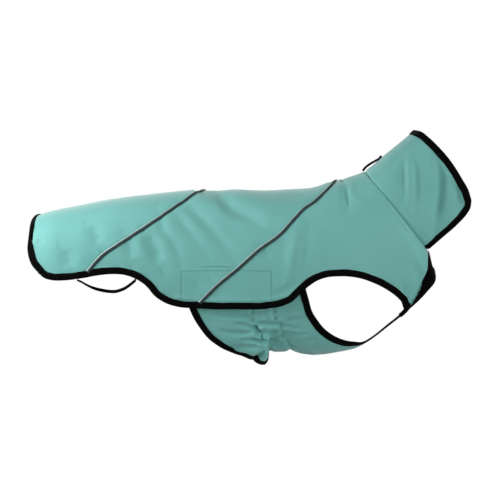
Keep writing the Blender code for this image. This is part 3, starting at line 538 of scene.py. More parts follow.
def hand_depth(depth_of, points, hand):
    """The relief of one hand, which meets that of the other at the middle plane."""
    flat = points.reshape(-1, 3)
    total = depth_of(flat, False)
    if hand == LEFT:
        share = smooth_step(np.abs(flat[:, 1]), 3.0, 34.0)
        total = total * (1 - share) + depth_of(flat, True) * share
    return total.reshape(points.shape[:-1])


def seam_normals(angle):
    """One direction along the neck seam, halfway between those of the trunk and of the collar."""
    trunk = normals_of(plain_skin, np.ones_like(angle), angle)
    around = np.clip(angle / THROAT_ANGLE, 0, 1)
    return unit(trunk + normals_of(plain_collar, np.zeros_like(angle), around))


def turned(normals, angle, share):
    share = share[..., None]
    return unit(normals * (1 - share) + seam_normals(angle) * share)


def flatten_strap(points, station):
    """Between the front legs the cloth is nearly flat, and only its edges show from the side."""
    height = points[..., 2] - BODY(station)[..., 3]
    share = (smooth_step(points[..., 0], *STRAP_FROM) * (1 - smooth_step(points[..., 0], *STRAP_TO))
             * (1 - smooth_step(height, *STRAP_HEIGHT)))
    flat = STRAP_LIFT + STRAP_ARCH * height
    lowered = points.copy()
    lowered[..., 2] += (flat - height) * share
    return lowered


def coat_skin(station, angle, hand):
    """The outer face of the trunk's cloth, on the right half or, not yet mirrored, the left half."""
    points = plain_skin(station, angle)
    depth = hand_depth(body_depth, points, hand)[..., None]
    near_neck = smooth_step(station, 0.97, 1.0) * (1 - smooth_step(angle, THROAT_ANGLE, THROAT_ANGLE + 0.15))
    normals = turned(normals_of(plain_skin, station, angle), angle, near_neck)
    return flatten_strap(points - depth * normals, station)


def insert_skin(station, angle, hand):
    """The chest insert's: hollow under the collar's open front, along the middle."""
    points = coat_skin(station, angle, hand)
    dent = INSERT_HOLLOW * smooth_step(points[..., 2], *HOLLOW_HEIGHTS)
    dent -= INSERT_RISE * smooth_step(points[..., 2], *RISE_HEIGHTS)
    dent *= 1 - smooth_step(np.abs(points[..., 1]), *HOLLOW_SIDES)
    return points - (dent + INSERT_DEPTH)[..., None] * normals_of(plain_skin, station, angle)


def belly_skin(station, angle, hand):
    points = plain_skin(station, angle)
    under = smooth_step(angle, BELLY_INSET_FULL, BELLY_INSET_NONE)
    gather = np.array(GATHER)
    drawn = np.interp(points[..., 0], gather[:, 0], gather[:, 1]) * under
    in_sight = smooth_step(-points[..., 2], *BELLY_IN_SIGHT)
    depth = BELLY_INSET * (1 - under) + drawn + hand_depth(belly_depth, points, hand) * in_sight
    return flatten_strap(points - depth[..., None] * normals_of(plain_skin, station, angle), station)


def collar_skin(height, around, hand):
    points = plain_collar(height, around)
    depth = hand_depth(collar_depth, points, hand)[..., None]
    near_neck = 1 - smooth_step(height, 0.0, 0.06)
    normals = turned(normals_of(plain_collar, height, around), around * THROAT_ANGLE, near_neck)
    return points - depth * normals


# ---- materials

def node(tree, kind, inputs=None, **settings):
    made = tree.nodes.new(kind)
    for name, value in settings.items():
        setattr(made, name, value)
    for name, value in (inputs or {}).items():
        socket = made.inputs[name]
        if isinstance(value, bpy.types.NodeSocket):
            tree.links.new(value, socket)
        else:
            socket.default_value = value
    return made


# colour, roughness, sheen, pitches of the weave along and across (mm), its depth (mm), how uneven the
# colour is over a broad patch and from grain to grain, size of a grain (mm), specular level
LOOKS = {
    "softshell": ((0.182, 0.53, 0.492), 0.62, 0.4, (0.62, 0.62), 0.035, 0.03, 0.03, 1.1, 0.5),
    "softshell_back": ((0.15, 0.42, 0.385), 0.9, 0.35, (1.3, 1.7), 0.12, 0.06, 0.12, 1.6, 0.5),
    "black_tape": ((0.0016, 0.0014, 0.0016), 0.75, 0.0, (0.7, 0), 0.07, 0.15, 0.2, 0.8, 0.055),
    "black_webbing": ((0.0018, 0.0015, 0.0018), 0.7, 0.0, (0.9, 1.2), 0.12, 0.12, 0.2, 1.1, 0.06),
    "black_stretch": ((0.0014, 0.0012, 0.0014), 0.8, 0.0, (0.9, 0.7), 0.08, 0.12, 0.15, 1.1, 0.04),
    "reflective_piping": ((0.038, 0.062, 0.064), 0.6, 0.0, (0.5, 0.5), 0.03, 0.08, 0.16, 0.35, 0.2),
    # the pale strip beside the piping: its light colour is a painted highlight of the ridge at the seam, not
    # a colour of the cord
    "piping_painted_highlight": ((0.58, 0.72, 0.70), 0.45, 0.0, (0.5, 0), 0.03, 0.05, 0.08, 1.1, 0.5),
    "hook_tape": ((0.13, 0.38, 0.35), 0.85, 0.3, (1.5, 1.5), 0.35, 0.08, 0.2, 0.7, 0.5),
    "teal_thread": ((0.15, 0.45, 0.42), 0.5, 0.1, (0.3, 0), 0.03, 0.05, 0.1, 1.1, 0.5),
    "black_thread": ((0.008, 0.007, 0.008), 0.5, 0.0, (0.3, 0), 0.03, 0.05, 0.1, 1.1, 0.15),
    # the needle holes' dark teal is painted shade, standing for the shadow inside each hole
    "needle_hole_painted_shade": ((0.035, 0.10, 0.09), 0.9, 0.0, (0.3, 0), 0.01, 0.05, 0.04, 1.1, 0.5),
}
BROAD_SCALE, SHEEN_ROUGHNESS = 17.0, 0.45
FELT_DEPTH, FELT_STRENGTH = 0.05, 0.6


def woven_material(name, colour, roughness, sheen, weave, weave_depth, mottle, grain, grain_size, specular):
    """Cloth with a fine weave and slightly uneven colour."""
    made = bpy.data.materials.new(name)
    made.use_nodes = True
    tree = made.node_tree
    shader = tree.nodes["Principled BSDF"]
    for socket, value in (("Roughness", roughness), ("Specular IOR Level", specular),
                          ("Sheen Weight", sheen), ("Sheen Roughness", SHEEN_ROUGHNESS)):
        shader.inputs[socket].default_value = value
    place = node(tree, "ShaderNodeTexCoord")
    factors = []
    for scale, detail, spread in ((BROAD_SCALE, 3.0, mottle), (1000.0 / grain_size, 2.0, grain)):
        noise = node(tree, "ShaderNodeTexNoise", {
            "Vector": place.outputs["Object"], "Scale": scale, "Detail": detail})
        factors.append(node(tree, "ShaderNodeMapRange", {
            "Value": noise.outputs["Fac"], "From Min": 0.3, "From Max": 0.7,
            "To Min": 1.0 - spread, "To Max": 1.0 + spread}).outputs[0])
    both = node(tree, "ShaderNodeMath", {0: factors[0], 1: factors[1]}, operation="MULTIPLY")
    shade = node(tree, "ShaderNodeVectorMath", {0: colour, "Scale": both.outputs[0]}, operation="SCALE")
    tree.links.new(shade.outputs["Vector"], shader.inputs["Base Color"])

    heights = []
    for pitch, direction in zip(weave, ("X", "Y")):
        if pitch:
            wave = node(tree, "ShaderNodeTexWave", {
                "Vector": place.outputs["UV"], "Scale": PI / (10.0 * pitch)},
                wave_type="BANDS", bands_direction=direction)
            heights.append(wave.outputs["Fac"])
    height = heights[0]
    if len(heights) == 2:
        height = node(tree, "ShaderNodeMath", {0: heights[0], 1: heights[1]}, operation="MAXIMUM").outputs[0]
    threads = node(tree, "ShaderNodeBump", {"Height": height, "Distance": weave_depth * MM, "Strength": 1.0})
    felt = node(tree, "ShaderNodeBump", {
        "Height": noise.outputs["Fac"], "Distance": FELT_DEPTH * MM, "Strength": FELT_STRENGTH,
        "Normal": threads.outputs["Normal"]})
    tree.links.new(felt.outputs["Normal"], shader.inputs["Normal"])
    return made


MATERIALS = {name: woven_material(name, *look) for name, look in LOOKS.items()}


# ---- meshes

def mesh_object(name, vertices, faces, materials, uvs=None, face_slots=None):
    """A mesh from millimetres. uvs holds one pair for each vertex, in millimetres."""
    mesh = bpy.data.meshes.new(name)
    vertices = np.asarray(vertices, dtype=float)
    mesh.from_pydata((vertices * MM).tolist(), [], faces)
    for key in materials:
        mesh.materials.append(MATERIALS[key])
    mesh.update()
    if uvs is not None:
        layer = mesh.uv_layers.new(name="cloth")
        index = np.empty(len(mesh.loops), dtype=np.int32)
        mesh.loops.foreach_get("vertex_index", index)
        layer.data.foreach_set("uv", np.asarray(uvs, dtype=np.float32)[index].ravel())
    if face_slots is not None:
        mesh.polygons.foreach_set("material_index", np.asarray(face_slots, dtype=np.int32))
    mesh.shade_smooth()
    made = bpy.data.objects.new(name, mesh)
    bpy.context.scene.collection.objects.link(made)
    return made


def settle(made, slot, *nodes):
    """The piece rides on the coat's one body, and stands for the solids of the nodes."""
    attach(made, "root")
    if nodes:
        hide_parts(*nodes)
    return made


def add_wall(made, thickness):
    wall = made.modifiers.new("wall", "SOLIDIFY")
    wall.thickness = thickness * MM
    wall.offset = -1
    return wall


def grid_quads(columns, rows):
    index = np.arange(columns * rows).reshape(columns, rows)
    quads = np.stack((index[:-1, :-1], index[1:, :-1], index[1:, 1:], index[:-1, 1:]), axis=-1)
    return quads.reshape(-1, 4)


def patch_places(sides, a, b):
    """A patch that blends its four sides. low and high run from left to right, left and right upward."""
    left, right, low, high = sides
    wide_a, wide_b = a[..., None], b[..., None]
    across = (1 - wide_a) * left(b) + wide_a * right(b)
    up = (1 - wide_b) * low(a) + wide_b * high(a)
    zero, one = np.zeros_like(a), np.ones_like(a)
    corners = ((1 - wide_a) * (1 - wide_b) * low(zero) + wide_a * (1 - wide_b) * low(one)
               + (1 - wide_a) * wide_b * high(zero) + wide_a * wide_b * high(one))
    return across + up - corners


def draw_in(points, side, distance):
    """Moves one side's points inward, and the rows beside it less and less, so that none is passed."""
    rows = np.moveaxis(points, 1 if side in ("low", "high") else 0, 0)
    if side in ("right", "high"):
        rows = rows[::-1]
    tangent = unit(np.gradient(rows[0], axis=0))
    tangent[np.abs(rows[0][:, 1]) < ON_PLANE] = (0.0, 1.0, 0.0)
    step = distance * square_to(rows[3] - rows[0], tangent)
    count = min(DRAWN_ROWS, len(rows) - 1)
    for number in range(count):
        rows[number] += step * (1 - number / count) ** 2


def crowded(count, crowd):
    """Steps from 0 to 1. A crowd, of place, reach and share, brings them closer near its place."""
    fine = np.linspace(0, 1, 600)
    density = np.ones_like(fine)
    if crowd:
        place, reach, share = crowd
        density += share * falloff(fine - place, reach)
    total = np.concatenate(([0.0], np.cumsum((density[1:] + density[:-1]) / 2)))
    return np.interp(np.linspace(0, total[-1], count + 1), total, fine)


def panel(node_name, form, skin, sides, cell, trims, material="softshell", crowd_along=None, crowd_up=None):
    """A panel's fine sheet, both halves in one, with its wall."""
    probe = np.linspace(0, 1, 60)
    lengths = [lengths_along(form(*side(probe).T))[-1] for side in sides]
    columns, rows = (max(4, round(max(pair) / cell)) for pair in (lengths[2:], lengths[:2]))
    a, b = np.meshgrid(crowded(columns, crowd_along), crowded(rows, crowd_up), indexing="ij")
    places = patch_places(sides, a, b)
    halves = []
    for _word, hand in HANDS:
        points = skin(places[..., 0], places[..., 1], hand)
        for side, distance in trims.items():
            draw_in(points, side, distance)
        points[np.abs(points[..., 1]) < ON_PLANE, 1] = 0.0
        halves.append(points)
    right, left = halves[0].reshape(-1, 3), mirrored(halves[1]).reshape(-1, 3)
    along = lengths_along(halves[0])
    up = lengths_along(np.swapaxes(halves[0], 0, 1)).T
    uv = np.stack((along, up - up[:, -1:]), axis=-1).reshape(-1, 2)
    quads = grid_quads(columns + 1, rows + 1)
    first = right[quads]
    facing = np.cross(first[:, 1] - first[:, 0], first[:, 3] - first[:, 0])[:, 1].sum()
    if facing > 0:
        quads = quads[:, ::-1]
    shared = np.abs(right[:, 1]) < ON_PLANE
    other = np.where(shared, np.arange(len(right)), len(right) + np.cumsum(~shared) - 1)
    faces = np.concatenate((quads, other[quads][:, ::-1]))
    made = mesh_object(node_name + "_cloth", np.concatenate((right, left[~shared])), faces.tolist(),
                       (material, "softshell_back" if material == "softshell" else material),
                       np.concatenate((uv, (uv * (1.0, -1.0))[~shared])))
    add_wall(made, CLOTH).material_offset = 1
    return settle(made, material, node_name)


# The tape's section: s from its fold inward, and h over the cloth's outer face. The inner half
# mirrors the outer one, and then come the tape's own inner faces.
TAPE_OUTER = (
    (10.2, 0.10), (10.2, 0.62), (9.85, 0.98), (9.0, 1.10), (8.2, 1.02), (6.6, 1.28), (4.6, 1.42),
    (2.8, 1.34), (1.4, 1.05), (0.5, 0.5), (0.0, -0.35),
)
TAPE_INSIDE = ((7.0, -1.62), (1.9, -1.62), (1.4, -0.75), (1.9, 0.12), (7.0, 0.12))
TAPE_STEPS = np.array((0.0, 0.6, 1.2, 2.2, 3.4, 4.8, 6.2, 7.6, 9.0, 10.2, 11.8, 13.6))


def edge_surface(form, skin, places, inward, hand):
    """Points and normals of the cloth beside an edge: one row for each place, at each tape step."""
    step, turn = 0.001, 0.005
    heading = square_to(inward, unit(np.gradient(form(*places.T), axis=0)))
    columns = [places]
    for distance in np.diff(TAPE_STEPS):
        first, second = columns[-1].T
        along = (form(first + step, second) - form(first - step, second)) / (2 * step)
        around = (form(first, second + turn) - form(first, second - turn)) / (2 * turn)
        heading = square_to(heading, unit(np.cross(around, along)))
        basis = np.stack((along, around), axis=-2)
        pull = basis @ heading[..., None] * distance
        columns.append(columns[-1] + np.linalg.solve(basis @ np.swapaxes(basis, -1, -2), pull)[..., 0])
    grid = np.stack(columns, axis=1)
    surface = skin(grid[..., 0], grid[..., 1], hand)
    normals = normals_of(form, grid[..., 0], grid[..., 1])
    lean = np.cross(np.gradient(surface, axis=1), np.gradient(surface, axis=0))
    lean = unit(lean) * np.sign(dot(lean, normals))[..., None]
    return surface, unit(normals + lean)


def both_hands(halves):
    """A right edge up to the middle plane, and then the left one back."""
    (right, right_normals), left_half = halves
    left, left_normals = (mirrored(rows)[::-1] for rows in left_half)
    right[-1, ..., 1] = 0.0
    return np.concatenate((right, left[1:])), np.concatenate((right_normals, left_normals[1:]))


def on_surface(surface, normals, s, h):
    """Points at s from the edge and h over the surface, one for each place, or more for more s."""
    s = np.clip(s, 0.0, TAPE_STEPS[-1])
    index = np.clip(np.searchsorted(TAPE_STEPS, s, side="right") - 1, 0, len(TAPE_STEPS) - 2)
    t = ((s - TAPE_STEPS[index]) / (TAPE_STEPS[index + 1] - TAPE_STEPS[index]))[..., None]
    rows = np.arange(len(surface)).reshape((-1,) + (1,) * (s.ndim - 1))
    point = surface[rows, index] * (1 - t) + surface[rows, index + 1] * t
    normal = unit(normals[rows, index] * (1 - t) + normals[rows, index + 1] * t)
    return point + normal * np.asarray(h)[..., None]


def sweep(name, rings, materials, ring_slots=None):
    """A closed section swept along a path: rings holds its points at each place."""
    count, size = rings.shape[:2]
    index = np.arange(count * size).reshape(count, size)
    following = np.roll(index, -1, axis=1)
    quads = np.stack((index[:-1], following[:-1], following[1:], index[1:]), axis=-1).reshape(-1, 4)
    ends = [index[0].tolist(), index[-1].tolist()[::-1]]
    path = rings.mean(axis=1)
    ring, ahead = rings[count // 2], path[count // 2 + 1] - path[count // 2 - 1]
    spin = np.cross(ring, np.roll(ring, -1, axis=0)).sum(axis=0)
    if spin @ ahead < 0:
        quads = quads[:, ::-1]
    else:
        ends = [end[::-1] for end in ends]
    slots = None
    if ring_slots is not None:
        slots = list(np.tile(ring_slots, count - 1)) + [ring_slots[0]] * len(ends)
    uv = np.stack(np.broadcast_arrays(lengths_along(path)[:, None], lengths_along(rings[0])), axis=-1)
    return mesh_object(name, rings.reshape(-1, 3), quads.tolist() + ends, materials,
                       uv.reshape(-1, 2), slots)


def line_at(line, normals, where):
    """Points and unit normals at lengths along a line on the cloth."""
    lengths = lengths_along(line)
    points, up = (np.stack([np.interp(where, lengths, column) for column in rows.T], axis=-1)
                  for rows in (line, normals))
    return points, unit(up)


def short_tubes(name, points, material, slot):
    """Many short closed tubes as one piece: points holds the rings of each."""
    count, rings, sides = points.shape[:3]
    index = np.arange(count * rings * sides).reshape(count, rings, sides)
    following = np.roll(index, -1, axis=2)
    quads = np.stack((index[:, :-1], following[:, :-1], following[:, 1:], index[:, 1:]), axis=-1)
    faces = quads.reshape(-1, 4).tolist() + index[:, 0, ::-1].tolist() + index[:, -1].tolist()
    return settle(mesh_object(name, points.reshape(-1, 3), faces, (material,)), slot)


def stitches(name, line, normals, material, slot):
    """Separate stitches along a line on the cloth, each a short thread that dips in at both ends."""
    thick = THREAD_RADIUS * np.array((0.55, 1.0, 1.0, 0.55))
    dip = THREAD_RADIUS * np.array((-0.9, 0.35, 0.35, -0.9))
    sides = 5
    length = lengths_along(line)[-1]
    count = max(1, int(length / STITCH_PITCH))
    middles = (np.arange(count) + 0.5) * length / count
    where = middles[:, None] + np.linspace(-0.5, 0.5, len(thick)) * STITCH_LENGTH
    centre, up = line_at(line, normals, where)
    aside = unit(np.cross(unit(np.gradient(centre, axis=1)), up))
    centre = centre + up * dip[:, None]
    turn = (2 * PI * np.arange(sides) / sides)[:, None]
    ring = aside[:, :, None] * np.cos(turn) + up[:, :, None] * np.sin(turn)
    return short_tubes(name, centre[:, :, None] + ring * thick[:, None, None], material, slot)


def holes(name, line, normals, material, slot):
    """The needle holes between the stitches, as small dark discs on the cloth; their dark colour is painted
    shade of the holes.
    """
    over, under, sides = 0.1, 0.3, 8
    length = lengths_along(line)[-1]
    count = max(1, int(length / STITCH_PITCH))
    centre, up = line_at(line, normals, np.arange(count + 1) * length / count)
    centre, up = centre[:, None], up[:, None]
    aside = unit(np.cross(up, (0.31, 0.27, 0.91)))
    turn = (2 * PI * np.arange(sides) / sides)[:, None]
    rim = centre + HOLE_RADIUS * (aside * np.cos(turn) + np.cross(up, aside) * np.sin(turn))
    return short_tubes(name, np.stack((rim - under * up, rim + over * up), axis=1), material, slot)


# ---- the coat's pieces

def sampled(curves, form):
    """Places along curves that follow each other, at an even pitch."""
    fine = np.linspace(0, 1, 400)
    found = []
    for curve in curves:
        length = lengths_along(form(*curve(fine).T))
        count = max(2, round(length[-1] / EDGE_PITCH))
        places = curve(np.interp(np.linspace(0, length[-1], count + 1), length, fine))
        found.append(places[1:] if found else places)
    return np.concatenate(found)


rear_seam, front_seam = outline(REAR_SEAM), outline(FRONT_SEAM)
rear_edge, rump_hem = outline(REAR_EDGE), outline(RUMP_HEM)
middle_hem, side_hem = outline(MIDDLE_HEM), outline(SIDE_HEM)
chest_curve = outline(CHEST_EDGE)
belly_rear, belly_top, leg_edge = outline(BELLY_REAR), outline(BELLY_TOP), outline(LEG_EDGE)
throat = np.array((1.0, THROAT_ANGLE))
tip = look_up(*TIP)
belly_start = look_up(*BELLY_LINE_START)
spine_places = [curve(1.0)[0] for curve in (rear_edge, rear_seam, front_seam)]


def front_edge(place):
    """The chest edge, which starts exactly at the throat."""
    at_start = np.asarray(place)[..., None] <= 0.0
    return np.where(at_start, throat, chest_curve(place))


def on_spine(start, end):
    return straight((start, 0), (end, 0))


def pull_from_tip(made):
    """Draws the cloth's sharp corner at the leg opening's tip back under the tape."""
    strength, reach = 0.4, 6.0
    for vertex in made.data.vertices:
        x, z = vertex.co.x / MM, vertex.co.z / MM
        share = strength * math.exp(-(math.hypot(x - TIP[0], z - TIP[1]) / reach) ** 2)
        vertex.co.x += (TIP_ANCHOR[0] - x) * share * MM
        vertex.co.z += (TIP_ANCHOR[1] - z) * share * MM


def build_panels():
    """Each panel's sides are given in the order left, right, low, high."""
    rear_place, middle_place, front_place = spine_places
    centre, bottom = straight((belly_start[0], PI), (tip[0], PI)), straight(tip, (tip[0], PI))
    made = {}
    made["rump_panel"] = panel(
        "rump_panel", plain_skin, coat_skin,
        (rear_edge, rear_seam, rump_hem, on_spine(rear_place, middle_place)), CELL,
        dict(right=SEAM_INSET, left=TAPE_LIP, low=TAPE_LIP))
    made["middle_panel"] = panel(
        "middle_panel", plain_skin, coat_skin,
        (rear_seam, front_seam, middle_hem, on_spine(middle_place, front_place)), CELL,
        dict(left=SEAM_INSET, right=SEAM_INSET, low=TAPE_LIP))
    made["shoulder_panel"] = panel(
        "shoulder_panel", plain_skin, coat_skin,
        (front_seam, reverse(front_edge), side_hem,
         joined(on_spine(front_place, 1), straight((1, 0), throat), 0.4)), SHOULDER_CELL,
        dict(left=SEAM_INSET, right=SEAM_INSET, low=TAPE_LIP), crowd_up=(1.0, 0.04, 3.0))
    pull_from_tip(made["shoulder_panel"])
    made["collar"] = panel(
        "collar", plain_collar, collar_skin,
        (straight((0, 0), (1, 0)), straight((0, 1), (1, 1)),
         straight((0, 0), (0, 1)), straight((1, 0), (1, 1))), CELL,
        dict(low=-COLLAR_TUCK, right=TAPE_LIP, high=TAPE_LIP), crowd_up=(0.0, 0.08, 3.0))
    made["belly_panel"] = panel(
        "belly_panel", plain_skin, belly_skin,
        (belly_rear, bottom, joined(belly_top, leg_edge, 6 / 19), centre), BELLY_CELL,
        dict(left=TAPE_LIP, low=TAPE_LIP, right=SEAM_INSET),
        crowd_along=(0.18, 0.14, 1.2), crowd_up=(0.75, 0.35, 0.8))
    made["chest_insert"] = panel(
        "chest_insert", plain_skin, insert_skin,
        (straight(throat, (1, PI)), bottom, front_edge, straight((1, PI), (tip[0], PI))), CELL,
        dict(left=SEAM_INSET, right=SEAM_INSET, low=SEAM_INSET), material="black_stretch")
    return made


def add_tape(name, edge, node_name, narrow=1.0, thick=1.0):
    """Bias tape folded over an edge, with its stitches: narrow and thick give the share of its width
    and of its height at each place."""
    surface, normals = edge
    count, outer = len(surface), len(TAPE_OUTER)
    narrow, thick = np.broadcast_to(narrow, count), np.broadcast_to(thick, count)
    inner = [(s, -CLOTH - h) for s, h in reversed(TAPE_OUTER)]
    section = np.array(list(TAPE_OUTER) + inner + list(TAPE_INSIDE))
    s, h = (np.tile(column, (count, 1)) for column in section.T)
    lengths = lengths_along(surface[:, 0])
    wobble = 1 + 0.018 * np.sin(lengths / 9) + 0.014 * np.sin(lengths / 4.1 + 1)
    s[:, :outer] *= (wobble * narrow)[:, None]
    puff = 1 + 0.10 * np.sin(lengths / 6.3 + 0.5) * np.sin(lengths / 15)
    h[:, 2:outer - 1] *= puff[:, None]
    over = np.where(h > 0, h, np.where(h < -CLOTH, h + CLOTH, 0.0))
    h += over * (thick - 1)[:, None]
    made = sweep(name + "_tape", on_surface(surface, normals, s, h), ("black_tape",))
    added = [settle(made, "black_tape", node_name)]

    inward, height, up = np.full(count, STITCH_IN), STITCH_OVER * thick, normals[:, -2]
    outside = on_surface(surface, normals, inward * np.clip(narrow, 0.3, 1.0), height)
    added.append(stitches(name + "_stitches", outside, up, "black_thread", "black_tape"))
    inside = on_surface(surface, normals, inward, -CLOTH - height)
    added.append(stitches(name + "_stitches_inside", inside, -up, "black_thread", "black_tape"))
    return added


def bound_edge(curves, form, skin, middle):
    """The right and the left half of the cloth beside an edge; middle is a place in that cloth."""
    places = sampled(curves, form)
    points = form(*places.T)
    inward = np.cross(np.gradient(points, axis=0), normals_of(form, *places.T))
    if dot(inward, form(*np.array(middle)) - points).sum() < 0:
        inward = -inward
    return [edge_surface(form, skin, places, inward, hand) for _word, hand in HANDS]


def build_tapes():
    """The bias tapes, with their stitching."""
    made = {}
    edge = both_hands(bound_edge((reverse(side_hem), reverse(middle_hem), reverse(rump_hem), rear_edge),
                                 plain_skin, coat_skin, (0.45, 1.2)))
    x, _y, height = edge[0][:, 0].T
    waist = 1 - 0.62 * falloff(height + 68, 9) - 0.30 * smooth_step(height, -64, -46)
    narrow = np.where(x < -300, waist + 0.58 * smooth_step(height, -42, -34), 1.0)
    thick = 1 + TAPE_NEAR_TIP * falloff(np.hypot(x - TIP[0], height - TIP[1]), TAPE_TIP_REACH, 4)
    made["hem"] = add_tape("hem", edge, "hem_binding", narrow, thick)

    edge = both_hands(bound_edge((straight((0, 1), (1, 1)), straight((1, 1), (1, 0))),
                                 plain_collar, collar_skin, (0.4, 0.5)))
    made["collar"] = add_tape("collar", edge, "collar_binding")

    edge = both_hands(bound_edge((belly_rear,), plain_skin, belly_skin, BELLY_MIDDLE))
    x, y, _z = edge[0][:, 0].T
    narrow = 1 - 0.45 * falloff(x + 20, 6) + 0.3 * smooth_step(x, -8, 6) - 0.8 * falloff(y, 5)
    made["belly"] = add_tape("belly_rear", edge, "belly_binding", narrow)

    halves = bound_edge((leg_edge,), plain_skin, belly_skin, BELLY_MIDDLE)
    for (word, hand), half in zip(HANDS, halves):
        edge = placed(hand, *half)
        thick = 1 - 0.6 * smooth_step(edge[0][:, 0, 0], 140, 165)
        made["leg_" + word] = add_tape("leg_" + word, edge, "leg_binding_" + word, thick=thick)
    return made


def on_flank(station, angle, hand):
    """Outer face and normals of the trunk's cloth, on the half of the given hand."""
    return placed(hand, coat_skin(station, angle, hand), normals_of(plain_skin, station, angle))


# The piping's section: w ahead of the seam, h over the cloth, and its material slot; slot 1 is a pale strip
# on the upper edge whose colour is a painted highlight of the light on the seam's ridge
PIPING_SECTION = (
    (-2.55, 0.05, 1), (-2.7, 0.5, 1), (-2.4, 0.86, 1), (-1.75, 0.8, 0), (-1.0, 1.22, 0),
    (0.1, 1.5, 0), (1.3, 1.4, 0), (2.2, 0.95, 0), (2.6, 0.05, 0),
)


def build_piping(word, seam):
    places = sampled((seam,), plain_skin)
    (right, right_normals), (left, left_normals) = (on_flank(*places.T, hand) for _word, hand in HANDS)
    right[-1, 1] = 0.0
    path = np.concatenate((right, left[::-1][1:]))
    up = np.concatenate((right_normals, left_normals[::-1][1:]))
    length = lengths_along(path)
    keep = (length > TAPE_WIDTH) & (length < length[-1] - TAPE_WIDTH)
    path, up = path[keep], up[keep]
    for _ in range(2):
        path[1:-1] = (path[:-2] + 2 * path[1:-1] + path[2:]) / 4
    ahead = np.cross(up, unit(np.gradient(path, axis=0)))
    ahead = unit(ahead * np.sign(ahead[:, :1]))[:, None]
    w, h, slots = np.array(PIPING_SECTION).T[..., None]
    rings = path[:, None] + ahead * w + up[:, None] * (h + PIPING_SEAT)
    # the pale strip of slot 1 is a painted highlight
    made = sweep(word + "_piping_cord", rings, ("reflective_piping", "piping_painted_highlight"),
                 slots[:, 0].astype(int))
    return settle(made, "reflective_piping", word + "_piping")


def strap(name, centres, across, width, wall, node_name, layers=1):
    """A flat webbing along a route, with rounded edges, or two layers of it."""
    up = unit(np.cross(unit(np.gradient(centres, axis=0)), across))
    w, t = width / 2, wall / 2
    half = [(-w + 0.4, t), (-w * 0.5, t * 1.04), (0, t), (w * 0.5, t * 1.04), (w - 0.4, t), (w, t * 0.55)]
    if layers == 2:
        half.append((w - 0.5, 0.0))
    half.append((w, -t * 0.55))
    side, height = np.concatenate((half, -np.array(half))).T[..., None]
    rings = centres[:, None] + across[:, None] * side + up[:, None] * height
    return settle(sweep(name, rings, ("black_webbing",)), "black_tape", node_name)


def build_straps():
    share = np.linspace(0, 1, 90)
    route = SmoothCurve(ELASTIC)(share)
    ends = look_up(route[[0, -1], 0], route[[0, -1], 1] + ELASTIC_UNDER_HEM)
    flank = plain_skin(ends[:, 0], ends[:, 1])[:, 1] + ELASTIC_INSIDE
    y = flank[0] + (flank[1] - flank[0]) * share + route[:, 2]
    centres = np.stack((route[:, 0], y, route[:, 1]), axis=-1)
    turn = ELASTIC_TWIST * (0.35 + 0.65 * smooth_step(share, 0.05, 0.45))
    across = np.stack((np.zeros_like(y), np.cos(turn), np.sin(turn)), axis=-1)
    made = [strap("elastic_" + word, *placed(hand, centres, across), ELASTIC_WIDTH, ELASTIC_WALL,
                  "leg_elastic_" + word) for word, hand in HANDS]
    route = SmoothCurve(NAPE_LOOP)(np.linspace(0, 1, 50))
    centres = np.stack((route[:, 0], np.zeros(len(route)), route[:, 1]), axis=-1)
    across = np.tile((0.0, 1.0, 0.0), (len(route), 1))
    made.append(strap("nape_webbing", centres, across, LOOP_WIDTH, LOOP_WALL, "nape_loop", layers=2))
    return made


def build_patch(word, hand):
    """The hook patch inside the flank, and the stitching of it that shows outside."""
    columns, rows = 60, 20
    x, z = np.meshgrid(np.linspace(PATCH_REAR, PATCH_FRONT, columns + 1),
                       np.linspace(PATCH_TOP, PATCH_LOW, rows + 1), indexing="ij")
    points, normals = on_flank(*np.moveaxis(look_up(x, z), -1, 0), hand)
    flat = (points - PATCH_DEPTH * normals).reshape(-1, 3)
    quads = grid_quads(columns + 1, rows + 1)
    corner = flat[quads[0]]
    if np.cross(corner[1] - corner[0], corner[3] - corner[0]) @ normals[0, 0] < 0:
        quads = quads[:, ::-1]
    patch = mesh_object("hook_patch_" + word + "_cloth", flat, quads.tolist(), ("hook_tape",),
                        np.stack((x, z), axis=-1).reshape(-1, 2))
    add_wall(patch, PATCH_WALL)
    added = [settle(patch, "hook_tape", "hook_patch_" + word)]
    for number, table in enumerate(PATCH_STITCHES):
        run = SmoothCurve(table)(np.linspace(0, 1, 60))
        line, up = on_flank(*look_up(*run.T).T, hand)
        tail = "_{}_{}".format(word, number + 1)
        added.append(stitches("patch_stitches" + tail, line + 0.12 * up, up, "teal_thread", "softshell"))
        # dark discs at the needle holes: painted shade
        added.append(holes("patch_holes" + tail, line, up, "needle_hole_painted_shade", "softshell"))
    return added


# ---- stage, lights and camera

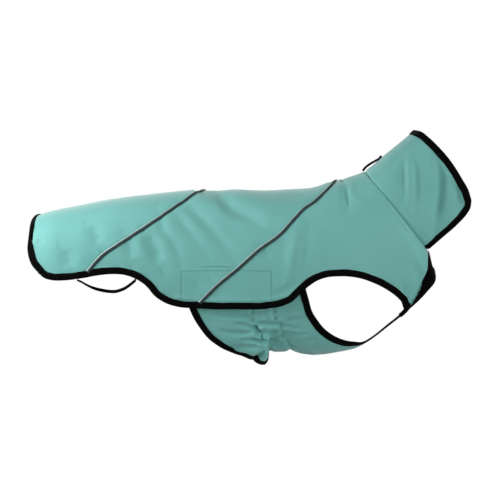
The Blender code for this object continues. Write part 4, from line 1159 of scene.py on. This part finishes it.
def build_stage():
    bpy.ops.mesh.primitive_plane_add(size=FLOOR_SIZE, location=(0.0, 0.0, FLOOR_HEIGHT))
    floor = bpy.context.object
    floor.name = "floor"
    paint = bpy.data.materials.new("floor_paint")
    paint.use_nodes = True
    tree = paint.node_tree
    matt = tree.nodes["Principled BSDF"]
    matt.inputs["Base Color"].default_value = (0.6, 0.6, 0.595, 1.0)
    matt.inputs["Roughness"].default_value = 0.8
    path = node(tree, "ShaderNodeLightPath")
    glow = node(tree, "ShaderNodeEmission", {"Color": (1.0, 1.0, 0.99, 1.0), "Strength": 0.8})
    both = node(tree, "ShaderNodeMath", {0: path.outputs["Is Camera Ray"], 1: 0.7}, operation="MULTIPLY")
    mix = node(tree, "ShaderNodeMixShader", {0: both.outputs[0], 1: matt.outputs[0], 2: glow.outputs[0]})
    tree.links.new(mix.outputs[0], tree.nodes["Material Output"].inputs["Surface"])
    floor.data.materials.append(paint)

    world = bpy.data.worlds.new("studio")
    bpy.context.scene.world = world
    world.use_nodes = True
    tree = world.node_tree
    shown, light = (node(tree, "ShaderNodeBackground", {"Color": (1.0, 1.0, 1.0, 1.0), "Strength": strength})
                    for strength in (1.0, 0.04))
    path = node(tree, "ShaderNodeLightPath")
    mix = node(tree, "ShaderNodeMixShader", {
        0: path.outputs["Is Camera Ray"], 1: light.outputs[0], 2: shown.outputs[0]})
    tree.links.new(mix.outputs[0], tree.nodes["World Output"].inputs["Surface"])


def add_light(name, power, size, place, spread):
    lamp = bpy.data.lights.new(name, "AREA")
    lamp.spread = math.radians(spread)
    lamp.energy = power
    lamp.shape = "DISK"
    lamp.size = size
    made = bpy.data.objects.new(name, lamp)
    bpy.context.scene.collection.objects.link(made)
    made.visible_camera = False
    made.location = place
    aim = np.array(LIGHT_TARGET) - np.array(place)
    pitch = math.atan2(math.hypot(aim[0], aim[1]), -aim[2])
    made.rotation_euler = (pitch, 0.0, math.atan2(-aim[0], aim[1]))


def build_camera():
    lens = bpy.data.cameras.new("camera")
    lens.type = "ORTHO"
    lens.ortho_scale = PICTURE_WIDTH
    made = bpy.data.objects.new("camera", lens)
    bpy.context.scene.collection.objects.link(made)
    made.location = (0.0, -CAMERA_DISTANCE, PICTURE_MIDDLE)
    made.rotation_euler = (PI / 2, 0.0, 0.0)
    bpy.context.scene.camera = made


build_camera()
build_stage()
for light in LIGHTS:
    add_light(*light)

panels = build_panels()
tapes = build_tapes()
piping = [build_piping("rear", rear_seam), build_piping("front", front_seam)]
straps = build_straps()
patches = [piece for word, hand in HANDS for piece in build_patch(word, hand)]

bpy.context.scene.view_settings.view_transform = "Standard"
